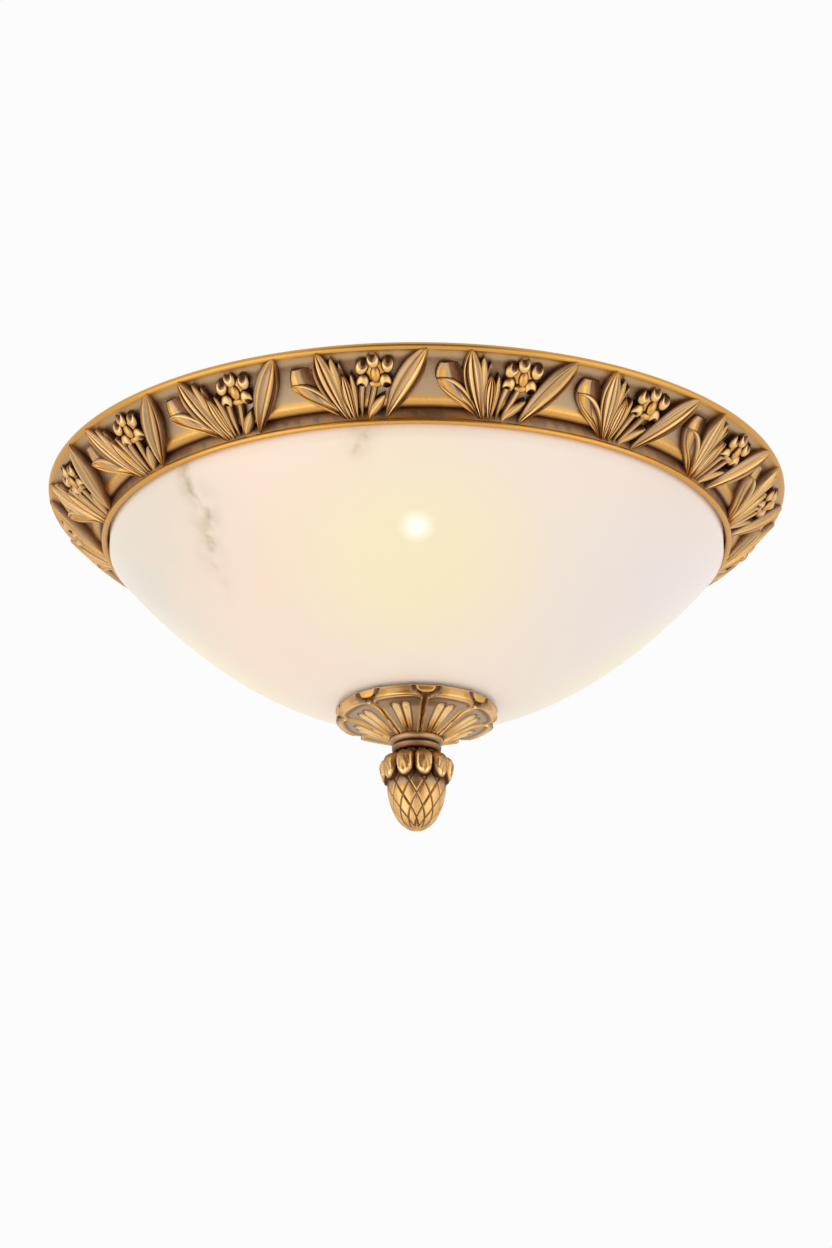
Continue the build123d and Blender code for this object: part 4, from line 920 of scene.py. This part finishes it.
def cup_relief(bearing, share, radius, cup):
    """Height of the cup's face, in metres, and its wear, at a bearing from a petal's middle."""
    half = ROUND / (2 * CUP_PETALS) * radius
    aside = abs(bearing * radius)
    edge = half * stops_at(petal_edge, share)[0]
    inside = smooth_step(0.0, EDGE_SOFTNESS, edge - aside)
    crest = cup.crest_share - 0.09 * smooth_step(0.55, 1.1, aside / edge) ** 1.5
    roll = smooth_step(crest, crest + 0.03, share)
    line = bump(aside, edge - cup.line_width * 0.7, cup.line_width) * (1 - roll)
    crown = bump(share, crest, 0.028) * inside
    # Two flutes stand out of the petal's field, rounded at both ends, with a dark line round each.
    past = (max(share - FLUTE_ENDS[1], 0.0) / FLUTE_ROUNDS[1]
            + max(FLUTE_ENDS[0] - share, 0.0) / FLUTE_ROUNDS[0])
    reach = math.hypot((abs(bearing) - cup.flute_spread) / cup.flute_width, past)
    flute = max(1 - reach * reach, 0.0)
    groove = bump(reach, 1.12, 0.22) * inside
    tip = smooth_step(crest + 0.02, 1.0, share)
    rolled = roll * inside * math.sin(math.pi * min(0.15 + 0.85 * tip, 1.0))
    relief = cup.petal_relief * inside * (1 - 0.5 * smooth_step(0.94, 1.0, share))
    relief += LINE_HEIGHT * max(line, crown) + cup.tip_roll * rolled
    relief += cup.flute_relief * flute ** 0.6 - GROOVE_DEPTH * groove
    # Patina and rubbing, with painted light: the term under the crest is a painted shadow below the
    # rolled-over tips.
    rubbed_and_lit = (0.12 + 0.3 * inside * (1 - roll) + 0.42 * line + 0.42 * crown - 0.24 * groove
              + 0.46 * smooth_step(0.0, 0.5, flute) * (0.55 + 0.45 * smooth_step(0.12, 0.42, share))
              - 0.2 * bump(share, crest - 0.06, 0.055) * inside)
    rubbed_and_lit += roll * inside * (0.68 - 0.3 * smooth_step(0.3, 1.0, aside / edge))
    # The smaller petals behind show as a half round under the rim, in each gap.
    down = (1 - share) / cup.back_length
    back = smooth_step(1.0, 0.82, math.hypot((half - aside) / cup.back_width, down)) * (1 - inside)
    relief += cup.petal_relief * 0.6 * back
    rubbed_and_lit += 0.6 * back
    rim_line = smooth_step(0.975, 0.99, share)
    relief += rim_line * (cup.petal_relief * 0.5 - relief)
    rubbed_and_lit += rim_line * (0.4 - rubbed_and_lit)
    return relief, min(max(rubbed_and_lit, 0.0), 1.0)


class CEILING_LIGHT_OT_cup(bpy.types.Operator):
    """Build the eight-petal cup and the turned collar under it"""
    bl_idname = "ceiling_light.cup"
    bl_label = "Petal cup and collar"

    def execute(self, context):
        cup = settings(context).cup
        bm = bmesh.new()
        wear_and_light = wear_and_light_layer(bm)
        for k in range(CUP_PETALS):
            grid = bmesh.ops.create_grid(bm, x_segments=72, y_segments=72, size=1.0)["verts"]
            for vert in grid:
                bearing = vert.co.x * ROUND / (2 * CUP_PETALS)
                share = (vert.co.y + 1) / 2
                line, out = cup_line(share, cup)
                relief, rubbed_and_lit = cup_relief(bearing, share, line.x, cup)
                place = line + out * relief
                swing = cup.petal_bearing + ROUND * k / CUP_PETALS + bearing
                vert.co = (place.x * math.sin(swing), -place.x * math.cos(swing), place.y)
                vert[wear_and_light] = rubbed_and_lit
        bmesh.ops.remove_doubles(bm, verts=bm.verts, dist=2 * MERGE)
        bmesh.ops.recalc_face_normals(bm, faces=bm.faces)
        piece = new_piece("brass_cup", bm, brass(context), "cup", ["petal_cup"],
                          sharp_angle=CAST_SHARP)
        shell = piece.modifiers.new("Wall", "SOLIDIFY")
        shell.thickness = cup.wall
        shell.offset = -1.0
        self.add_collar(context, cup)
        return {"FINISHED"}

    def add_collar(self, context, cup):
        """Spin the collar: a bead, a dark groove and a tapering band."""
        top = collar_high.z + cup.neck_rise
        foot = collar_low.z + cup.neck_rise
        radius = collar_high.x
        bead, bore = 3.3 * MM, 5.6 * MM
        groove, band = radius - 2.4 * MM, radius - 1.2 * MM
        profile = [(bore, top, 0.2)]
        # The bead is lighter on top and darker underneath: painted shade on its underside.
        for radius_here, height in arc((radius - bead, top - bead), bead, 90, -90, 16):
            low = smooth_step(top - 0.5 * bead, top - 1.7 * bead, height)
            profile.append((radius_here, height, 0.8 - 0.5 * low))
        under = top - 2 * bead
        # Darkest in the groove under the bead and darker towards the band's foot: patina and
        # painted shade.
        profile += [(groove, under, 0.0), (groove, under - 0.8 * MM, 0.03),
                    (band - 0.4 * MM, under - 0.9 * MM, 0.2), (band, under - 1.5 * MM, 0.34),
                    (band - 0.5 * MM, foot + 1.3 * MM, 0.16), (15.2 * MM, foot + 0.4 * MM, 0.05),
                    (14.5 * MM, foot, 0.0), (bore, foot, 0.2)]
        bm = bmesh.new()
        spun(bm, profile, steps=128)
        new_piece("brass_collar", bm, brass(context), "cup", ["finial_collar"])


# ------------------------------------------------------------------ acorn finial
LOBES = 10
SPIRALS = 12                    # grooves of the lattice each way
BORE_DEPTH = 17.5 * MM
LOBE_SQUARENESS = 3.2           # 2 gives a ball's face, and more a flatter one
LEAF_DEPTH = 1.3 * MM           # how deep the field round a lobe's leaf lies


def acorn_line(finial, steps):
    """The acorn's outer line from its neck to its tip."""
    top = acorn_high.z + finial.neck_rise
    shoulder = -finial.shoulder_drop
    points = []
    neck_steps = steps // 4
    for k in range(neck_steps):
        share = k / neck_steps
        radius = finial.neck_radius + (finial.body_radius - finial.neck_radius) * share
        points.append((radius, top + (shoulder - top) * share))
    fall = shoulder - acorn_low.z
    for k in range(steps - neck_steps + 1):
        angle = math.pi / 2 * k / (steps - neck_steps)
        points.append((finial.body_radius * math.cos(angle), shoulder - fall * math.sin(angle)))
    return points


class CEILING_LIGHT_OT_finial(bpy.types.Operator):
    """Build the acorn finial: a latticed body under a ring of lobes"""
    bl_idname = "ceiling_light.finial"
    bl_label = "Acorn finial"

    def execute(self, context):
        finial = settings(context).finial
        bm = bmesh.new()
        self.add_body(bm, finial)
        for k in range(LOBES):
            self.add_lobe(bm, finial, finial.lobe_bearing + ROUND * k / LOBES)
        new_piece("brass_acorn", bm, brass(context), "finial",
                  ["acorn_finial"], sharp_angle=CAST_SHARP)
        return {"FINISHED"}

    def add_body(self, bm, finial):
        """A spun body whose skin is grooved along spirals each way."""
        line = acorn_line(finial, 120)
        bore = finial.bore_radius
        depth = acorn_high.z - BORE_DEPTH
        profile = [(bore, depth), (bore, line[0][1]), *line[:-1], (0.0, acorn_low.z), (0.0, depth)]
        spun(bm, lit_and_worn(profile, 0.5), steps=240)
        wear_and_light = wear_and_light_layer(bm)
        runs = [0.0]
        for a, b in zip(line, line[1:]):
            runs.append(runs[-1] + math.dist(a, b))
        heights = [point[1] for point in line]
        crossing = min(range(len(heights)), key=lambda k: abs(heights[k] + finial.lattice_drop))
        for vert in bm.verts:
            radius = math.hypot(vert.co.x, vert.co.y)
            if radius < bore * 1.02 and vert.co.z > depth - MM:
                continue
            index = min(range(len(heights)), key=lambda k: abs(heights[k] - vert.co.z))
            turns = (runs[index] - runs[crossing]) / finial.diamond_length
            bearing = math.atan2(vert.co.x, -vert.co.y) / ROUND * SPIRALS
            width = finial.groove_width / max(radius * ROUND / SPIRALS, MM)
            groove = 0.0
            for phase in (bearing + turns, bearing - turns):
                off = abs(phase - round(phase))
                groove = max(groove, bump(off, 0.0, width * 1.35))
            groove *= smooth_step(1 * MM, 7 * MM, radius)
            # The body is darker just under the lobes: painted shade where they overhang it, and
            # patina there as well.
            clear_of_lobes = smooth_step(-finial.shoulder_drop + 1.5 * MM,
                                   -finial.shoulder_drop - 9 * MM, vert.co.z)
            vert[wear_and_light] = 0.05 * groove + (1 - groove) * (0.1 + 0.68 * clear_of_lobes)
            keep = smooth_step(0.5 * MM, 4 * MM, radius)
            inward = Vector((vert.co.x, vert.co.y, vert.co.z + finial.shoulder_drop))
            if inward.length > 0:
                vert.co -= inward.normalized() * finial.groove_depth * groove * keep

    def add_lobe(self, bm, finial, bearing):
        """A rounded lobe with a raised border and a pointed leaf inside it."""
        wear_and_light = wear_and_light_layer(bm)
        made = bmesh.ops.create_uvsphere(bm, u_segments=36, v_segments=28, radius=1.0)["verts"]
        half_width = finial.lobe_width / 2
        half_length = finial.lobe_length / 2
        depth = finial.lobe_crest - finial.neck_radius
        lean = Matrix.Rotation(finial.lobe_lean, 3, "X")
        swing = Matrix.Rotation(bearing, 3, "Z")
        for vert in made:
            x, y, z = vert.co
            if y < 0:
                # The face is flatter than a sphere's, and rounds over near its edge.
                y = -max(1 - math.hypot(x, z) ** LOBE_SQUARENESS, 0.0) ** (1 / LOBE_SQUARENESS)
            ring = math.sqrt(max(1 - z * z, 0.0))
            if z > 0 and ring > 0.05:
                # The upper half keeps its width, as a tongue does.
                x *= math.sqrt(1 - z ** 4) / ring
            reach = math.hypot(x, min(z - 0.15, 0.0) / 0.86)
            sink = 0.0
            vert[wear_and_light] = 0.03
            if y < 0:
                border = bump(reach, 0.74, 0.2)
                # A pointed leaf stands in the tongue, its point up, with a line down its middle.
                side = abs(x) - 0.46 * smooth_step(0.8, -0.1, z)
                leaf = smooth_step(0.08, -0.08, side) * smooth_step(-0.6, -0.4, z)
                groove = bump(side, 0.08, 0.14) * (1 - border)
                vein = bump(abs(x), 0.0, 0.13) * smooth_step(0.3, -0.1, z) * leaf
                face = max(border, leaf * 0.75, 0.5) * (1 - 0.7 * max(vein, groove))
                sink = LEAF_DEPTH * (1 - face) * smooth_step(1.0, 0.86, reach)
                rubbed_and_lit = 0.56 + 0.34 * border + 0.12 * leaf - 0.36 * max(groove, vein)
                # Towards its rounded edge and its top under the collar the lobe is darker: painted
                # shade.
                vert[wear_and_light] = rubbed_and_lit * smooth_step(1.0, 0.88, reach) * smooth_step(1.04, 0.94, z)
            local = Vector((x * half_width, y * depth + sink, z * half_length))
            place = lean @ local + Vector((0, -finial.neck_radius, -finial.lobe_drop))
            place.z = min(place.z, acorn_high.z + finial.neck_rise)
            vert.co = swing @ place


# ------------------------------------------------------------------ fittings
class CEILING_LIGHT_OT_fittings(bpy.types.Operator):
    """Give the pan, the lamps and the other fittings their finishes"""
    bl_idname = "ceiling_light.fittings"
    bl_label = "Fittings"

    def execute(self, context):
        finish = settings(context).finish
        # Baked enamel: white, smooth and softly glossy.
        enamel = plain_material("White enamel", finish.pan_white, 0.35, grain=0.05, grain_size=20)
        # Zinc plating on pressed steel: pale, and slightly mottled.
        zinc = plain_material("Zinc plated steel", finish.zinc, 0.38, 1.0, 0.08, 4)
        # Turned brass without patina: yellow, and a little dulled by handling.
        yellow = plain_material("Plain brass", finish.brass_gold, 0.3, 1.0, 0.06, 4)
        # Moulded rubber: almost black and matt.
        rubber = plain_material("Black rubber", finish.rubber, 0.75, grain=0.08, grain_size=2)
        # Porcelain under a clear glaze: white and shiny.
        glaze = plain_material("Glazed porcelain", finish.porcelain, 0.14, grain=0.04, grain_size=9)
        # Sleeving over the wires: off-white, between matt and shiny.
        sheath = plain_material("Lead sheath", finish.sheath, 0.5, grain=0.06, grain_size=3)
        # Moulded plastic: off-white, with the faint unevenness of its mould.
        moulded = plain_material("Moulded terminal block", finish.terminal, 0.5, grain=0.05,
                                 grain_size=3)
        # Nickel plating: pale, and brighter than zinc.
        cap = plain_material("Nickel plated cap", finish.zinc, 0.24, 1.0, 0.06, 5)
        glass = lamp_glass(finish)
        finishes = {
            "ceiling_pan": enamel, "terminal_block": moulded, "rim_screws": yellow,
            "cap_nuts": yellow, "earth_screw": yellow, "lead_grommets": rubber,
            "bowl_gasket": rubber, "bowl_bush": rubber, "cup_washer": rubber,
            "lampholder": glaze, "lamp_lead": sheath, "bulb_cap": cap, "bulb_globe": glass,
        }
        replaced = ("rim_ring", "sprig_", "alabaster_bowl", "petal_cup", "finial_collar",
                    "acorn_finial")
        for name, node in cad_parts.items():
            if name.startswith(replaced):
                continue
            chosen = next((material for start, material in finishes.items()
                           if name.startswith(start)), zinc)
            node.data.materials.clear()
            node.data.materials.append(chosen)
            node.data.shade_smooth()
            node.data.set_sharp_from_angle(angle=math.radians(SHARP))
        return {"FINISHED"}


# ------------------------------------------------------------------ stage
# The lamps: name, place in metres, and power in watts. Both are broad, for soft light.
lamps = [("Key lamp", (-2.5, -1.6, -1.4), 31.0), ("Fill lamp", (2.6, -1.5, -1.2), 23.0)]
LAMP_SIZE = 3.4
LAMP_AIM = (0, 0, -0.1)
FLOOR_HALF = 8.0
FLOOR_LIFT = 0.45               # light that the floor adds as the camera, metal and glass see it
WORLD_FILL = 0.6                # strength of the world on everything else
CAMERA_ASIDE = -0.0004          # from the light's middle to the camera's, in metres
LENS, SENSOR = 105.3, 36.0      # in millimetres


class CEILING_LIGHT_OT_stage(bpy.types.Operator):
    """Set up the floor, the lamps, the world and the camera"""
    bl_idname = "ceiling_light.stage"
    bl_label = "Stage"

    def execute(self, context):
        stage = settings(context).stage
        scene = context.scene
        scene.view_settings.view_transform = "Standard"
        self.add_floor(scene, stage)
        self.add_dark_card(scene, stage)
        self.add_world(scene)
        self.add_lamps(scene)
        self.add_camera(scene, stage)
        return {"FINISHED"}

    def add_flat(self, scene, name, half_sizes, tilt, centre, material):
        """A flat rectangle that is part of the stage."""
        bm = bmesh.new()
        bmesh.ops.create_grid(bm, x_segments=1, y_segments=1, size=1.0)
        bmesh.ops.scale(bm, verts=bm.verts, vec=(*half_sizes, 1.0))
        bmesh.ops.rotate(bm, verts=bm.verts, matrix=Matrix.Rotation(tilt, 3, "X"))
        bmesh.ops.translate(bm, verts=bm.verts, vec=centre)
        mesh = bpy.data.meshes.new(name)
        bm.to_mesh(mesh)
        bm.free()
        flat = bpy.data.objects.new(name, mesh)
        scene.collection.objects.link(flat)
        flat.data.materials.append(material)
        return flat

    def add_floor(self, scene, stage):
        """A pale matt floor, lifted to white as the camera, metal and glass see it."""
        material = plain_material("Pale floor", stage.floor_colour, 0.9)
        tree = material.node_tree
        lift = add_node(tree, "ShaderNodeMath", [(0, seen_plainly(tree)), (1, FLOOR_LIFT)],
                        operation="MULTIPLY")
        set_node(tree, tree.nodes["Principled BSDF"], Emission_Color=linear("#FFFFFF"),
                 Emission_Strength=lift.outputs["Value"])
        self.add_flat(scene, "Floor", (FLOOR_HALF, FLOOR_HALF), 0.0, (0, 0, -stage.floor_drop),
                      material)

    def add_dark_card(self, scene, stage):
        """A dark card behind the camera, for the brass to reflect: only reflections show it."""
        half_height = (stage.card_high + stage.card_low) / 2
        card = self.add_flat(scene, "Dark_card", (stage.card_width / 2, half_height), math.pi / 2,
                             (0, -stage.card_back, stage.card_high - half_height),
                             plain_material("Dark card", stage.card_colour, 0.9))
        card.visible_camera = False
        card.visible_diffuse = False
        card.visible_shadow = False

    def add_world(self, scene):
        """White as the camera, metal and glass see it, and a soft fill for the rest."""
        world = bpy.data.worlds.new("Studio")
        world.use_nodes = True
        scene.world = world
        tree = world.node_tree
        strength = add_node(tree, "ShaderNodeMapRange", Value=seen_plainly(tree),
                            To_Min=WORLD_FILL, To_Max=1.0)
        set_node(tree, tree.nodes["Background"], Strength=strength.outputs["Result"],
                 Color=linear("#FCFCFC"))

    def add_lamps(self, scene):
        """A broad lamp on each side, the left one the stronger."""
        for name, place, power in lamps:
            lamp = bpy.data.lights.new(name, "AREA")
            lamp.size = LAMP_SIZE
            lamp.energy = power
            holder = bpy.data.objects.new(name, lamp)
            holder.location = place
            aim = Vector(LAMP_AIM) - Vector(place)
            holder.rotation_euler = aim.to_track_quat("-Z", "Y").to_euler()
            scene.collection.objects.link(holder)

    def add_camera(self, scene, stage):
        """The photograph's view: from the front and below, looking up."""
        camera = bpy.data.cameras.new("Camera")
        camera.sensor_fit = "AUTO"
        camera.sensor_width = SENSOR
        camera.lens = LENS
        holder = bpy.data.objects.new("Camera", camera)
        below = stage.camera_below
        holder.location = (CAMERA_ASIDE, -stage.camera_distance * math.cos(below),
                           -stage.camera_distance * math.sin(below))
        holder.rotation_euler = (math.pi / 2 + stage.camera_pitch, 0, 0)
        scene.collection.objects.link(holder)
        scene.camera = holder


# ------------------------------------------------------------------ panel and start
pieces = (CEILING_LIGHT_OT_rim, CEILING_LIGHT_OT_sprigs, CEILING_LIGHT_OT_bowl,
          CEILING_LIGHT_OT_cup, CEILING_LIGHT_OT_finial, CEILING_LIGHT_OT_fittings,
          CEILING_LIGHT_OT_stage)


class CEILING_LIGHT_PT_panel(bpy.types.Panel):
    """Lists the pieces of the ceiling light"""
    bl_idname = "CEILING_LIGHT_PT_panel"
    bl_label = "Ceiling light"
    bl_space_type = "VIEW_3D"
    bl_region_type = "UI"
    bl_category = "Ceiling light"

    def draw(self, context):
        for operator in pieces:
            self.layout.operator(operator.bl_idname)


classes = (RimSizes, SprigSizes, BowlSizes, CupSizes, FinialSizes, FinishColours, StageSizes,
           LightSettings, *pieces, CEILING_LIGHT_PT_panel)


def register():
    for item in classes:
        bpy.utils.register_class(item)
    bpy.types.Scene.ceiling_light = bpy.props.PointerProperty(type=LightSettings)


def unregister():
    del bpy.types.Scene.ceiling_light
    for item in reversed(classes):
        bpy.utils.unregister_class(item)


def main():
    """Build the whole light."""
    register()
    bpy.ops.ceiling_light.rim()
    bpy.ops.ceiling_light.sprigs()
    bpy.ops.ceiling_light.bowl()
    bpy.ops.ceiling_light.cup()
    bpy.ops.ceiling_light.finial()
    bpy.ops.ceiling_light.fittings()
    bpy.ops.ceiling_light.stage()


if __name__ == "__main__":
    main()
